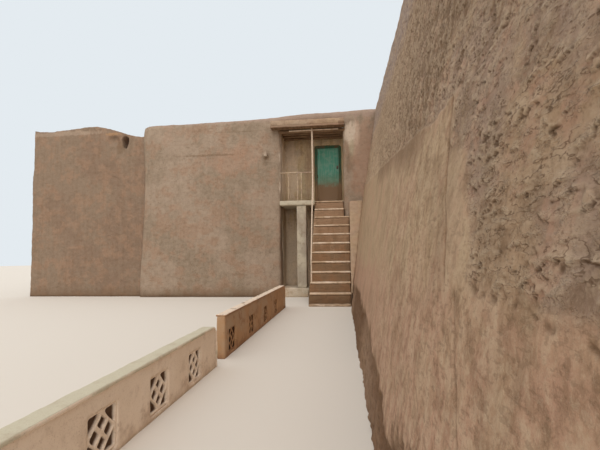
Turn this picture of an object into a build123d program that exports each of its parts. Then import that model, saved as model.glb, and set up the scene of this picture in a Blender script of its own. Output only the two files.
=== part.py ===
from build123d import *
import os

# An adobe house at the end of a walled courtyard: a mud-walled upper room reached by an outside
# stair, a roofed porch cut into the facade, a tall leaning boundary wall on the right, a lower
# yard wall on the left and a garden wall with pierced blocks. Millimetres, +Z up, +Y away from
# the courtyard. Sizes are measured from the courtyard corner, where the foot of the tall wall
# meets the facade. The origin is on the ground in the middle of the whole plan.

# House walls
FACADE_LENGTH = 6650.0       # facade from the corner to its left end
RIGHT_REACH = 1600.0         # from the corner to the outer face of the right-hand walls
HOUSE_DEPTH = 4700.0
WALL = 600.0                 # outer walls, at the foot
CREST_SLOPE = 0.031          # rise of the wall tops to the right
FACADE_LEAN = 0.025          # inward lean of the outer faces
RIGHT_LEAN = 0.04
CREST_ROUND = 110.0
CORNER_ROUND = 180.0

# Floor and roof
UPPER_FLOOR = 250.0
DOOR_HEAD = 293.0            # from the top of the door frame to the roof's underside
ROOF = 180.0
PARAPET = 310.0              # wall top above the roof, over the courtyard corner

# Porch, cut into the facade above and below the landing
PORCH_LEFT = 2080.0          # left jamb, to the left of the corner
PORCH_RIGHT = 120.0          # right jamb, to the left of the corner
PORCH_DEPTH = 1200.0
PORCH_WALL = 400.0
PLINTH_HEIGHT = 275.0

# Porch roof
LINTEL_D = 110.0
LINTEL_Y = 185.0             # lintel and post line behind the foot of the facade
LINTEL_BEARING = 200.0
POLE_D = 90.0
POLE_COUNT = 3
POLE_BEARING = 150.0
SOCKET_GAP = 2.0
DECK = 40.0
EAVE_REACH = 250.0           # in front of the foot of the facade
EAVE_LEFT = 2320.0
EAVE_RIGHT = 60.0
EAVE_LIP = 150.0             # mud on the eave's front edge
EAVE_PLANK = 60.0

# Stair
RISER = 262.0
GOING = 230.0
STEPS = 11                   # risers above the foot slab
TREAD = 45.0
NOSING = 15.0
FOOT_Y = -2280.0             # nosing of the foot slab
STAIR_LEFT = 1010.0
STAIR_RIGHT = -40.0
FLANK_LEAN = 0.08
CHEEK_RISE = 250.0           # mud fillet beside the steps, over the nosings

# Landing
LANDING_SLAB = 145.0
LANDING_LIP = 20.0
PIER_LEFT = 1560.0
PIER_WIDTH = 290.0
PIER_DEPTH = 300.0
PIER_SETBACK = 15.0

# Doorway and door
DOOR_LEFT = 1080.0
DOOR_WIDTH = 890.0
DOOR_HEIGHT = 2000.0
FRAME_FACE = 85.0
FRAME_DEPTH = 90.0
FRAME_SETBACK = 60.0
LEAF = 40.0
LEAF_GAP = 4.0
LEAF_SETBACK = 35.0
PANEL_RIB = 90.0
PANEL_SINK = 12.0
HINGE_TALL = 110.0
HINGE_D = 14.0
HINGE_COUNT = 3
LATCH_HEIGHT = 1250.0
LATCH_WIDTH = 60.0
LATCH_TALL = 120.0
LATCH_PLATE = 4.0

# Pipes and rods
POST_D = 55.0
POST_X = 1062.0
RAIL_D = 32.0
GUARD_HEIGHT = 900.0
GUARD_POSTS = (1830.0, 1546.0, 1424.0)
HANDRAIL_D = 34.0
HANDRAIL_FOOT_STEP = 2
HANDRAIL_FOOT_RISE = 570.0
HANDRAIL_TOP_RISE = 900.0
NEWEL_BACK = 60.0
SHADE_D = 40.0
SHADE_LEFT = 1780.0
SHADE_RIGHT = 250.0

# Tall wall along the courtyard
TALL_LENGTH = 13280.0
TALL_SKEW = 183.0            # sideways run of its foot over its length
TALL_LEAN = 0.16
TALL_FAR_RISE = 40.0         # its crest against that of the house at the courtyard corner
TALL_MID_DROP = 530.0
TALL_NEAR_DROP = 660.0
TALL_MID_Y = -6480.0
TALL_BEND_RUN = 1300.0       # half length of the stretch that eases the bend in its crest
TALL_ROUND = 150.0

# Yard wall on the left
YARD_LENGTH = 3910.0
YARD_SETBACK = 275.0
YARD_WALL = 500.0
YARD_END_RISE = 96.0         # rises and drops are measured from the crest at the end of the house
YARD_DIP_RISE = 51.0
YARD_PEAK_RISE = 101.0
YARD_SLUMP_DROP = 134.0
YARD_LOW_DROP = 274.0
YARD_DIP_RUN = 2950.0        # runs are measured from the end of the house
YARD_PEAK_RUN = 1420.0
YARD_SLUMP_RUN = 650.0
YARD_LOW_RUN = 120.0
BREACH_RUN = 640.0
BREACH_DROP = 444.0          # its middle
BREACH_WIDTH = 230.0
BREACH_TALL = 410.0
BREACH_NARROW = 0.55         # width of its foot against its head

# Garden walls with pierced blocks
GARDEN_X = 1560.0            # walkway face, to the left of the corner
GARDEN_WALL = 120.0
COPING = 30.0
COPING_LIP = 10.0
NEAR_START = -12180.0
NEAR_END = -7820.0
NEAR_HEIGHT = 480.0
NEAR_ROUND = 150.0
FAR_START = -7480.0
FAR_END = -2480.0
FAR_HEIGHT = 550.0
BLOCK_WIDTH = 330.0
BLOCK_HEIGHT = 300.0
BLOCK_FOOT = 40.0
BLOCK_DEPTH = 90.0
BLOCK_PITCH = 800.0
NEAR_FIRST = -11710.0
NEAR_COUNT = 5
FAR_FIRST = -7130.0
FAR_PITCH = 1130.0
FAR_COUNT = 4
BLOCK_RIM = 16.0
BLOCK_RIB = 25.0
BLOCK_BOW = 10.0             # how far the ribs bow towards the middle

# Stub in the facade
PEG_X = 2510.0
PEG_Z = 4400.0
PEG_WIDTH = 90.0
PEG_TALL = 135.0
PEG_REACH = 70.0
PEG_BED = 120.0

# Worked-out places
SHIFT_X = (FACADE_LENGTH + YARD_LENGTH - RIGHT_REACH) / 2
SHIFT_Y = (TALL_LENGTH - HOUSE_DEPTH) / 2
LANDING_Z = TREAD + RISER * STEPS
FLOOR_TOP = LANDING_Z
PORCH_WIDTH = PORCH_LEFT - PORCH_RIGHT
DOOR_RIGHT = DOOR_LEFT - DOOR_WIDTH
DOOR_TOP = LANDING_Z + DOOR_HEIGHT
ROOF_UNDERSIDE = DOOR_TOP + DOOR_HEAD
ROOF_TOP = ROOF_UNDERSIDE + ROOF
CREST_AT_CORNER = ROOF_TOP + PARAPET
CREST_AT_END = CREST_AT_CORNER - CREST_SLOPE * FACADE_LENGTH
DECK_UNDERSIDE = ROOF_UNDERSIDE - DECK
LINTEL_Z = DECK_UNDERSIDE - LINTEL_D / 2
POLE_Z = DECK_UNDERSIDE - POLE_D / 2
SPARE = 900.0                # overlength that the leaning faces and the crest trim away
SKY = CREST_AT_CORNER + SPARE


# Planes
def plan(z=0.0):
    """Level plane: sketch x to the right, sketch y away from the courtyard."""
    return Plane(origin=(SHIFT_X, SHIFT_Y, z))


def front(y=0.0):
    """Upright plane facing the courtyard: sketch x to the right, sketch y up."""
    return Plane(origin=(SHIFT_X, SHIFT_Y + y, 0), x_dir=(1, 0, 0), z_dir=(0, -1, 0))


def side(x=0.0):
    """Upright plane facing right: sketch x away from the courtyard, sketch y up."""
    return Plane(origin=(SHIFT_X + x, SHIFT_Y, 0), x_dir=(0, 1, 0), z_dir=(1, 0, 0))


def leaning(x, y, inward, lean):
    """Outer face through a point on the ground, leaning inward; its z axis points into the wall."""
    normal = Vector(*inward).normalized() - Vector(0, 0, lean)
    return Plane(origin=(SHIFT_X + x, SHIFT_Y + y, 0), z_dir=normal)


FACADE = leaning(0, 0, (0, 1, 0), FACADE_LEAN)
REAR = leaning(0, HOUSE_DEPTH, (0, -1, 0), FACADE_LEAN)
LEFT_END = leaning(-FACADE_LENGTH, 0, (1, 0, 0), FACADE_LEAN)
RIGHT_END = leaning(RIGHT_REACH, 0, (-1, 0, 0), RIGHT_LEAN)
CREST = Plane(origin=(SHIFT_X, SHIFT_Y, CREST_AT_CORNER), z_dir=(CREST_SLOPE, 0, -1))


# Helpers
def save(part, name):
    part.label = name
    export_step(part, f"parts/{name}.step")


def block(x0, x1, y0, y1, z0, z1):
    """Plain block between two corners, measured from the courtyard corner."""
    with BuildPart() as made:
        with BuildSketch(plan(z0)):
            with Locations(((x0 + x1) / 2, (y0 + y1) / 2)):
                Rectangle(x1 - x0, y1 - y0)
        extrude(amount=z1 - z0)
    return made.part


def mud_wall(x0, x1, y0, y1, z0, faces):
    """Wall block up to the sloping crest, trimmed by the leaning outer faces."""
    with BuildPart() as made:
        add(block(x0, x1, y0, y1, z0, SKY))
        split(bisect_by=CREST, keep=Keep.TOP)
        for face in faces:
            split(bisect_by=face, keep=Keep.TOP)
    return made.part


def on_plane(plane):
    """Selector for edges that lie in a plane."""
    def lies(edge):
        return all(abs(plane.to_local_coords(edge @ t).Z) < 0.01 for t in (0, 0.5, 1))
    return lies


def between(first, second):
    """Selector for the edge where two planes meet."""
    return lambda edge: on_plane(first)(edge) and on_plane(second)(edge)


os.makedirs("parts", exist_ok=True)

# Sockets that the porch roof's timbers lie in
with BuildPart() as lintel_socket:
    with BuildSketch(side(-PORCH_LEFT - LINTEL_BEARING)):
        with Locations((LINTEL_Y, LINTEL_Z)):
            Circle(LINTEL_D / 2 + SOCKET_GAP)
        with Locations((LINTEL_Y, (LINTEL_Z + DECK_UNDERSIDE) / 2)):
            Rectangle(LINTEL_D + 2 * SOCKET_GAP, DECK_UNDERSIDE - LINTEL_Z)
    extrude(amount=PORCH_WIDTH + 2 * LINTEL_BEARING)

POLE_PITCH = (PORCH_DEPTH - LINTEL_Y) / (POLE_COUNT + 0.5)
POLE_LINES = [LINTEL_Y + POLE_PITCH * (n + 1) for n in range(POLE_COUNT)]

with BuildPart() as pole_sockets:
    with BuildSketch(side(-PORCH_LEFT - POLE_BEARING)):
        for line in POLE_LINES:
            with Locations((line, POLE_Z)):
                Rectangle(POLE_D + 2 * SOCKET_GAP, POLE_D)
    extrude(amount=PORCH_WIDTH + 2 * POLE_BEARING)

# Facade left of the porch
with BuildPart() as front_wall_left:
    add(mud_wall(-FACADE_LENGTH, -PORCH_LEFT, 0, WALL, 0, (FACADE, LEFT_END)))
    fillet(front_wall_left.edges().filter_by(between(FACADE, LEFT_END)), CORNER_ROUND)
    fillet(front_wall_left.edges().filter_by(between(FACADE, CREST)), CREST_ROUND)
    add(lintel_socket.part, mode=Mode.SUBTRACT)
    add(pole_sockets.part, mode=Mode.SUBTRACT)
save(front_wall_left.part, "front_wall_left")

# Facade right of the porch, running behind the tall wall
with BuildPart() as front_wall_right:
    add(mud_wall(-PORCH_RIGHT, RIGHT_REACH, 0, WALL, 0, (FACADE, RIGHT_END)))
    fillet(front_wall_right.edges().filter_by(between(FACADE, CREST)), CREST_ROUND)
    add(lintel_socket.part, mode=Mode.SUBTRACT)
    add(pole_sockets.part, mode=Mode.SUBTRACT)
save(front_wall_right.part, "front_wall_right")

# Parapet over the porch
with BuildPart() as porch_parapet:
    add(mud_wall(-PORCH_LEFT, -PORCH_RIGHT, 0, WALL, ROOF_TOP, (FACADE,)))
    fillet(porch_parapet.edges().filter_by(between(FACADE, CREST)), CREST_ROUND)
save(porch_parapet.part, "porch_parapet")

# Hidden walls of the house
with BuildPart() as rear_wall:
    add(mud_wall(-FACADE_LENGTH, RIGHT_REACH, HOUSE_DEPTH - WALL, HOUSE_DEPTH, 0, (REAR, LEFT_END, RIGHT_END)))
    fillet(rear_wall.edges().filter_by(between(REAR, LEFT_END)), CORNER_ROUND)
    fillet(rear_wall.edges().filter_by(between(REAR, CREST)), CREST_ROUND)
save(rear_wall.part, "rear_wall")

with BuildPart() as left_wall:
    add(mud_wall(-FACADE_LENGTH, WALL - FACADE_LENGTH, WALL, HOUSE_DEPTH - WALL, 0, (LEFT_END,)))
    fillet(left_wall.edges().filter_by(between(LEFT_END, CREST)), CREST_ROUND)
save(left_wall.part, "left_wall")

with BuildPart() as right_wall:
    add(mud_wall(RIGHT_REACH - WALL, RIGHT_REACH, WALL, HOUSE_DEPTH - WALL, 0, (RIGHT_END,)))
    fillet(right_wall.edges().filter_by(between(RIGHT_END, CREST)), CREST_ROUND)
save(right_wall.part, "right_wall")

# Walls round the porch
INNER_FAR = PORCH_DEPTH + PORCH_WALL

with BuildPart() as porch_side_left:
    add(block(-PORCH_LEFT - PORCH_WALL, -PORCH_LEFT, WALL, INNER_FAR, 0, ROOF_UNDERSIDE))
    add(pole_sockets.part, mode=Mode.SUBTRACT)
save(porch_side_left.part, "porch_side_left")

with BuildPart() as porch_side_right:
    add(block(-PORCH_RIGHT, PORCH_WALL - PORCH_RIGHT, WALL, INNER_FAR, 0, ROOF_UNDERSIDE))
    add(pole_sockets.part, mode=Mode.SUBTRACT)
save(porch_side_right.part, "porch_side_right")

DOOR_WALLS = {
    "door_wall_left": (-PORCH_LEFT, -DOOR_LEFT, 0, ROOF_UNDERSIDE),
    "door_wall_right": (-DOOR_RIGHT, -PORCH_RIGHT, 0, ROOF_UNDERSIDE),
    "door_wall_over": (-DOOR_LEFT, -DOOR_RIGHT, DOOR_TOP, ROOF_UNDERSIDE),
    "door_wall_under": (-DOOR_LEFT, -DOOR_RIGHT, 0, LANDING_Z),
}
for name, (x0, x1, z0, z1) in DOOR_WALLS.items():
    save(block(x0, x1, PORCH_DEPTH, INNER_FAR, z0, z1), name)

# Floor of the upper room and the roof, both stepped round the porch
INNER_LEFT = WALL - FACADE_LENGTH
INNER_RIGHT = RIGHT_REACH - WALL

with BuildPart() as upper_floor:
    add(block(INNER_LEFT, INNER_RIGHT, WALL, HOUSE_DEPTH - WALL, FLOOR_TOP - UPPER_FLOOR, FLOOR_TOP))
    add(
        block(-PORCH_LEFT - PORCH_WALL, PORCH_WALL - PORCH_RIGHT, 0, INNER_FAR, 0, SKY),
        mode=Mode.SUBTRACT,
    )
save(upper_floor.part, "upper_floor")

with BuildPart() as roof:
    add(block(INNER_LEFT, INNER_RIGHT, WALL, HOUSE_DEPTH - WALL, ROOF_UNDERSIDE, ROOF_TOP))
    add(block(-PORCH_LEFT, -PORCH_RIGHT, 0, PORCH_DEPTH, 0, SKY), mode=Mode.SUBTRACT)
save(roof.part, "roof")

# Timbers of the porch roof
with BuildPart() as porch_lintel:
    with BuildSketch(side(-PORCH_LEFT - LINTEL_BEARING)):
        with Locations((LINTEL_Y, LINTEL_Z)):
            Circle(LINTEL_D / 2)
    extrude(amount=PORCH_WIDTH + 2 * LINTEL_BEARING)
save(porch_lintel.part, "porch_lintel")

with BuildPart() as porch_poles:
    with BuildSketch(side(-PORCH_LEFT - POLE_BEARING)):
        for line in POLE_LINES:
            with Locations((line, POLE_Z)):
                Circle(POLE_D / 2)
    extrude(amount=PORCH_WIDTH + 2 * POLE_BEARING)
save(porch_poles.part, "porch_poles")

# Deck of sticks on the poles, reaching out over the lintel as the eave
with BuildPart() as porch_ceiling:
    add(block(-PORCH_LEFT, -PORCH_RIGHT, 0, PORCH_DEPTH, DECK_UNDERSIDE, ROOF_UNDERSIDE))
    add(block(-EAVE_LEFT, -EAVE_RIGHT, EAVE_PLANK - EAVE_REACH, WALL, DECK_UNDERSIDE, ROOF_UNDERSIDE))
    add(front_wall_left.part, mode=Mode.SUBTRACT)
    add(front_wall_right.part, mode=Mode.SUBTRACT)
save(porch_ceiling.part, "porch_ceiling")

with BuildPart() as eave_plank:
    add(
        block(
            -EAVE_LEFT, -EAVE_RIGHT, -EAVE_REACH, EAVE_PLANK - EAVE_REACH,
            DECK_UNDERSIDE - EAVE_PLANK / 2, ROOF_UNDERSIDE,
        )
    )
save(eave_plank.part, "eave_plank")

# Mud over the deck, thinning to a soft lip at the eave
with BuildPart() as porch_roof:
    with BuildSketch(side(-EAVE_LEFT)):
        with BuildLine():
            Polyline(
                (-EAVE_REACH, ROOF_UNDERSIDE),
                (WALL, ROOF_UNDERSIDE),
                (WALL, ROOF_TOP),
                (0, ROOF_TOP),
                (-EAVE_REACH, ROOF_UNDERSIDE + EAVE_LIP),
                close=True,
            )
        make_face()
    extrude(amount=EAVE_LEFT - EAVE_RIGHT)
    add(block(-PORCH_LEFT, -PORCH_RIGHT, WALL, PORCH_DEPTH, ROOF_UNDERSIDE, ROOF_TOP))
    add(front_wall_left.part, mode=Mode.SUBTRACT)
    add(front_wall_right.part, mode=Mode.SUBTRACT)
save(porch_roof.part, "porch_roof")

# Tall wall, leaning away from the courtyard, its crest eased between two slopes
TALL_CREST_FAR = CREST_AT_CORNER + TALL_FAR_RISE
TALL_CREST_MID = CREST_AT_CORNER - TALL_MID_DROP
TALL_CREST_NEAR = CREST_AT_CORNER - TALL_NEAR_DROP
FAR_RISE = (TALL_CREST_FAR - TALL_CREST_MID) / -TALL_MID_Y
NEAR_RISE = (TALL_CREST_MID - TALL_CREST_NEAR) / (TALL_MID_Y + TALL_LENGTH)
TALL_SECTIONS = [
    (-TALL_LENGTH, 0, TALL_CREST_NEAR),
    (TALL_MID_Y - TALL_BEND_RUN, 0, TALL_CREST_MID - NEAR_RISE * TALL_BEND_RUN),
    (TALL_MID_Y + TALL_BEND_RUN, 0, TALL_CREST_MID + FAR_RISE * TALL_BEND_RUN),
    (0, FACADE_LEAN, TALL_CREST_FAR * (1 + FAR_RISE * FACADE_LEAN)),
]


def tall_face_x(y, z):
    """Where the leaning face stands, to the right of the corner."""
    return TALL_LEAN * z - TALL_SKEW * y / TALL_LENGTH


with BuildPart() as tall_wall:
    for y, lean, crest in TALL_SECTIONS:
        slope_length = crest * (1 + lean ** 2) ** 0.5
        with BuildSketch(Plane(front(y).origin, x_dir=(1, 0, 0), z_dir=(0, -1, lean))) as section:
            with BuildLine():
                Polyline(
                    (tall_face_x(y, 0), 0),
                    (RIGHT_REACH, 0),
                    (RIGHT_REACH - RIGHT_LEAN * crest, slope_length),
                    (tall_face_x(y + lean * crest, crest), slope_length),
                    close=True,
                )
            make_face()
            fillet(section.vertices().group_by(Axis.Y)[-1], TALL_ROUND)
    loft(ruled=True)
save(tall_wall.part, "tall_wall")


# Stair
def nosing_y(step):
    return FOOT_Y + GOING * step


def tread_top(step):
    return TREAD + RISER * step


FLANK_TOP = Plane(
    origin=(SHIFT_X - STAIR_LEFT, SHIFT_Y + FOOT_Y, TREAD),
    z_dir=Vector(-FLANK_LEAN, 0, -1).cross(Vector(0, GOING, RISER)),
)
FLANK_LANDING = leaning(-STAIR_LEFT - FLANK_LEAN * LANDING_Z, 0, (1, 0, 0), FLANK_LEAN)
WIDEST = STAIR_LEFT + FLANK_LEAN * LANDING_Z

with BuildPart() as stair_mass:
    outline = [(nosing_y(1) + NOSING, 0)]
    for step in range(1, STEPS + 1):
        outline.append((nosing_y(step) + NOSING, tread_top(step) - TREAD))
        end = PORCH_DEPTH if step == STEPS else nosing_y(step + 1) + NOSING
        outline.append((end, tread_top(step) - TREAD))
    outline.append((PORCH_DEPTH, 0))
    with BuildSketch(side(-WIDEST)):
        with BuildLine():
            Polyline(*outline, close=True)
        make_face()
    extrude(amount=WIDEST - STAIR_RIGHT)
    split(bisect_by=FLANK_TOP, keep=Keep.TOP)
    split(bisect_by=FLANK_LANDING, keep=Keep.TOP)
    add(block(-PORCH_RIGHT, RIGHT_REACH, 0, PORCH_DEPTH, 0, SKY), mode=Mode.SUBTRACT)
    add(tall_wall.part, mode=Mode.SUBTRACT)
save(stair_mass.part, "stair_mass")

with BuildPart() as stair_treads:
    for step in range(STEPS + 1):
        end = PORCH_DEPTH if step == STEPS else nosing_y(step + 1) + NOSING
        add(block(-STAIR_LEFT, -STAIR_RIGHT, nosing_y(step), end, tread_top(step) - TREAD, tread_top(step)))
    add(block(-PORCH_RIGHT, RIGHT_REACH, 0, PORCH_DEPTH, 0, SKY), mode=Mode.SUBTRACT)
    add(tall_wall.part, mode=Mode.SUBTRACT)
save(stair_treads.part, "stair_treads")

# Mud fillet between the steps and the leaning wall
with BuildPart() as stair_cheek:
    with BuildSketch(side(-STAIR_RIGHT)):
        with BuildLine():
            Polyline(
                (nosing_y(0), 0),
                (nosing_y(0), tread_top(0) + CHEEK_RISE),
                (0, tread_top(0) + CHEEK_RISE - FOOT_Y * RISER / GOING),
                (0, 0),
                close=True,
            )
        make_face()
    extrude(amount=RIGHT_REACH / 2)
    add(tall_wall.part, mode=Mode.SUBTRACT)
save(stair_cheek.part, "stair_cheek")

# Landing beside the stair head, on a pier, over a low plinth
with BuildPart() as landing_slab:
    add(block(-PORCH_LEFT, -STAIR_LEFT, 0, PORCH_DEPTH, LANDING_Z - LANDING_SLAB, LANDING_Z))
    add(block(-PORCH_LEFT, -STAIR_LEFT, -LANDING_LIP, 0, LANDING_Z - LANDING_SLAB, LANDING_Z))
    add(stair_mass.part, mode=Mode.SUBTRACT)
    add(front_wall_left.part, mode=Mode.SUBTRACT)
save(landing_slab.part, "landing_slab")

with BuildPart() as porch_plinth:
    add(block(-PORCH_LEFT, -STAIR_LEFT, 0, PORCH_DEPTH, 0, PLINTH_HEIGHT))
    add(stair_mass.part, mode=Mode.SUBTRACT)
save(porch_plinth.part, "porch_plinth")

with BuildPart() as landing_pier:
    add(
        block(
            -PIER_LEFT, PIER_WIDTH - PIER_LEFT, PIER_SETBACK, PIER_SETBACK + PIER_DEPTH,
            PLINTH_HEIGHT, LANDING_Z - LANDING_SLAB,
        )
    )
save(landing_pier.part, "landing_pier")

# Door: frame of three members, and one leaf with two sunk panels
FRAME_Y = PORCH_DEPTH + FRAME_SETBACK

with BuildPart() as door_frame:
    with BuildSketch(front(FRAME_Y)):
        with Locations((-DOOR_LEFT + DOOR_WIDTH / 2, LANDING_Z + DOOR_HEIGHT / 2)):
            Rectangle(DOOR_WIDTH, DOOR_HEIGHT)
        with Locations((-DOOR_LEFT + DOOR_WIDTH / 2, LANDING_Z + (DOOR_HEIGHT - FRAME_FACE) / 2)):
            Rectangle(DOOR_WIDTH - 2 * FRAME_FACE, DOOR_HEIGHT - FRAME_FACE, mode=Mode.SUBTRACT)
    extrude(amount=-FRAME_DEPTH)
save(door_frame.part, "door_frame")

LEAF_WIDTH = DOOR_WIDTH - 2 * FRAME_FACE - 2 * LEAF_GAP
LEAF_HEIGHT = DOOR_HEIGHT - FRAME_FACE - 2 * LEAF_GAP
LEAF_Y = FRAME_Y + LEAF_SETBACK

with BuildPart() as door_leaf:
    with BuildSketch(front(LEAF_Y)):
        with Locations((-DOOR_LEFT + DOOR_WIDTH / 2, LANDING_Z + LEAF_GAP + LEAF_HEIGHT / 2)):
            Rectangle(LEAF_WIDTH, LEAF_HEIGHT)
    extrude(amount=-LEAF)
    panel_tall = (LEAF_HEIGHT - 3 * PANEL_RIB) / 2
    with BuildSketch(front(LEAF_Y)):
        with Locations((-DOOR_LEFT + DOOR_WIDTH / 2, LANDING_Z + LEAF_GAP + LEAF_HEIGHT / 2)):
            with GridLocations(0, panel_tall + PANEL_RIB, 1, 2):
                Rectangle(LEAF_WIDTH - 2 * PANEL_RIB, panel_tall)
    extrude(amount=-PANEL_SINK, mode=Mode.SUBTRACT)
save(door_leaf.part, "door_leaf")

# Hinges in the gap on the left, and a latch plate with its staple on the right
HINGE_SPREAD = LEAF_HEIGHT - 3 * HINGE_TALL
HINGE_X = -DOOR_LEFT + FRAME_FACE

with BuildPart() as door_hinges:
    for n in range(HINGE_COUNT):
        middle = LANDING_Z + LEAF_GAP + LEAF_HEIGHT / 2 + HINGE_SPREAD * (n / (HINGE_COUNT - 1) - 0.5)
        foot = middle - HINGE_TALL / 2
        add(block(HINGE_X, HINGE_X + LEAF_GAP, LEAF_Y - HINGE_D / 2, LEAF_Y + LEAF, foot, foot + HINGE_TALL))
        with BuildSketch(plan(foot)):
            with Locations((HINGE_X + HINGE_D / 2, LEAF_Y - HINGE_D / 2)):
                Circle(HINGE_D / 2)
        extrude(amount=HINGE_TALL)
save(door_hinges.part, "door_hinges")

LATCH_X = -DOOR_RIGHT - FRAME_FACE - LEAF_GAP - PANEL_RIB / 2
LATCH_Z = LANDING_Z + LATCH_HEIGHT

with BuildPart() as door_latch:
    with BuildSketch(front(LEAF_Y)):
        with Locations((LATCH_X, LATCH_Z)):
            RectangleRounded(LATCH_WIDTH, LATCH_TALL, LATCH_WIDTH / 4)
    extrude(amount=LATCH_PLATE)
    with BuildSketch(front(LEAF_Y - LATCH_PLATE)):
        with Locations((LATCH_X, LATCH_Z)):
            SlotOverall(LATCH_WIDTH * 0.7, LATCH_WIDTH * 0.3)
    extrude(amount=LATCH_WIDTH * 0.4)
save(door_latch.part, "door_latch")


# Pipes
def pipe(start, end, diameter):
    """Round bar between two points measured from the courtyard corner."""
    shift = Vector(SHIFT_X, SHIFT_Y, 0)
    a = Vector(*start) + shift
    b = Vector(*end) + shift
    with BuildPart() as made:
        with BuildSketch(Plane(origin=a, z_dir=b - a)):
            Circle(diameter / 2)
        extrude(amount=(b - a).length)
    return made.part


with BuildPart() as porch_post:
    add(pipe((-POST_X, LINTEL_Y, LANDING_Z), (-POST_X, LINTEL_Y, LINTEL_Z - LINTEL_D / 2), POST_D))
save(porch_post.part, "porch_post")

with BuildPart() as landing_railing:
    guard_z = LANDING_Z + GUARD_HEIGHT
    add(pipe((-PORCH_LEFT, LINTEL_Y, guard_z), (-POST_X, LINTEL_Y, guard_z), RAIL_D))
    for place in GUARD_POSTS:
        add(pipe((-place, LINTEL_Y, LANDING_Z), (-place, LINTEL_Y, guard_z), RAIL_D))
    add(porch_post.part, mode=Mode.SUBTRACT)
save(landing_railing.part, "landing_railing")

with BuildPart() as stair_handrail:
    newel_y = nosing_y(HANDRAIL_FOOT_STEP) + NEWEL_BACK
    newel_x = -STAIR_LEFT + HANDRAIL_D
    foot_z = tread_top(HANDRAIL_FOOT_STEP)
    newel_top = (newel_x, newel_y, foot_z + HANDRAIL_FOOT_RISE)
    add(pipe((newel_x, newel_y, foot_z), newel_top, HANDRAIL_D))
    add(pipe(newel_top, (-POST_X, LINTEL_Y, LANDING_Z + HANDRAIL_TOP_RISE), HANDRAIL_D))
    add(porch_post.part, mode=Mode.SUBTRACT)
    add(landing_railing.part, mode=Mode.SUBTRACT)
save(stair_handrail.part, "stair_handrail")

# Shade rod hung in front of the lintel
with BuildPart() as shade_rod:
    rod_y = LINTEL_Y - LINTEL_D / 2 - SHADE_D / 2
    add(pipe((-SHADE_LEFT, rod_y, LINTEL_Z), (-SHADE_RIGHT, rod_y, LINTEL_Z), SHADE_D))
save(shade_rod.part, "shade_rod")

# Yard wall, with its crest slumped beside the house and a breach through it
with BuildPart() as left_yard_wall:
    house_end = -FACADE_LENGTH
    outer_end = house_end - YARD_LENGTH
    bonded_end = house_end + WALL / 2
    with BuildSketch(front(YARD_SETBACK)):
        with BuildLine():
            Spline(
                (outer_end, CREST_AT_END + YARD_END_RISE),
                (house_end - YARD_DIP_RUN, CREST_AT_END + YARD_DIP_RISE),
                (house_end - YARD_PEAK_RUN, CREST_AT_END + YARD_PEAK_RISE),
                (house_end - YARD_SLUMP_RUN, CREST_AT_END - YARD_SLUMP_DROP),
                (house_end - YARD_LOW_RUN, CREST_AT_END - YARD_LOW_DROP),
            )
            Polyline(
                (house_end - YARD_LOW_RUN, CREST_AT_END - YARD_LOW_DROP),
                (bonded_end, CREST_AT_END - YARD_LOW_DROP),
                (bonded_end, 0),
                (outer_end, 0),
                (outer_end, CREST_AT_END + YARD_END_RISE),
            )
        make_face()
    extrude(amount=-YARD_WALL)
    split(bisect_by=LEFT_END, keep=Keep.BOTTOM)
    breach_x = house_end - BREACH_RUN
    breach_z = CREST_AT_END - BREACH_DROP
    head_radius = BREACH_WIDTH / 2
    foot_radius = BREACH_WIDTH / 2 * BREACH_NARROW
    with BuildSketch(front(YARD_SETBACK)):
        with Locations((breach_x, breach_z + BREACH_TALL / 2 - head_radius)):
            Circle(head_radius)
        with Locations((breach_x, breach_z - BREACH_TALL / 2 + foot_radius)):
            Circle(foot_radius)
        make_hull()
    extrude(amount=-YARD_WALL, mode=Mode.SUBTRACT)
save(left_yard_wall.part, "left_yard_wall")


# Garden walls
def block_places(first, pitch, count):
    return [first + pitch * n for n in range(count)]


def garden_wall(start, end, height, rounding, places):
    """Wall body with openings for the pierced blocks, its far top corner rounded."""
    with BuildPart() as made:
        with BuildSketch(side(-GARDEN_X - GARDEN_WALL)) as outline:
            with Locations(((start + end - COPING) / 2, (height - COPING) / 2)):
                Rectangle(end - COPING - start, height - COPING)
            top_far = outline.vertices().group_by(Axis.Y)[-1].sort_by(Axis.X)[-1]
            fillet(top_far, rounding - COPING)
            for place in places:
                with Locations((place, BLOCK_FOOT + BLOCK_HEIGHT / 2)):
                    Rectangle(BLOCK_WIDTH, BLOCK_HEIGHT, mode=Mode.SUBTRACT)
        extrude(amount=GARDEN_WALL)
    return made.part


def garden_coping(start, end, height, rounding):
    """Cap that follows the top of the wall and turns down over its far end."""
    with BuildPart() as made:
        with BuildSketch(side(-GARDEN_X - GARDEN_WALL - COPING_LIP)) as outline:
            with Locations(((start + end) / 2, height / 2)):
                Rectangle(end - start, height)
            top_far = outline.vertices().group_by(Axis.Y)[-1].sort_by(Axis.X)[-1]
            fillet(top_far, rounding)
        extrude(amount=GARDEN_WALL + 2 * COPING_LIP)
        with BuildSketch(side(-GARDEN_X - GARDEN_WALL - COPING_LIP)) as inner:
            with Locations(((start + end - COPING) / 2, (height - COPING) / 2)):
                Rectangle(end - COPING - start, height - COPING)
            top_far = inner.vertices().group_by(Axis.Y)[-1].sort_by(Axis.X)[-1]
            fillet(top_far, rounding - COPING)
        extrude(amount=GARDEN_WALL + 2 * COPING_LIP, mode=Mode.SUBTRACT)
    return made.part


def bowed(start, end, bow):
    """Arc from start to end that bows to the right of the way by the given depth."""
    way = Vector(*end) - Vector(*start)
    middle = (Vector(*start) + Vector(*end)) / 2 + Vector(way.Y, -way.X).normalized() * bow
    ThreePointArc(start, (middle.X, middle.Y), end)


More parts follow.
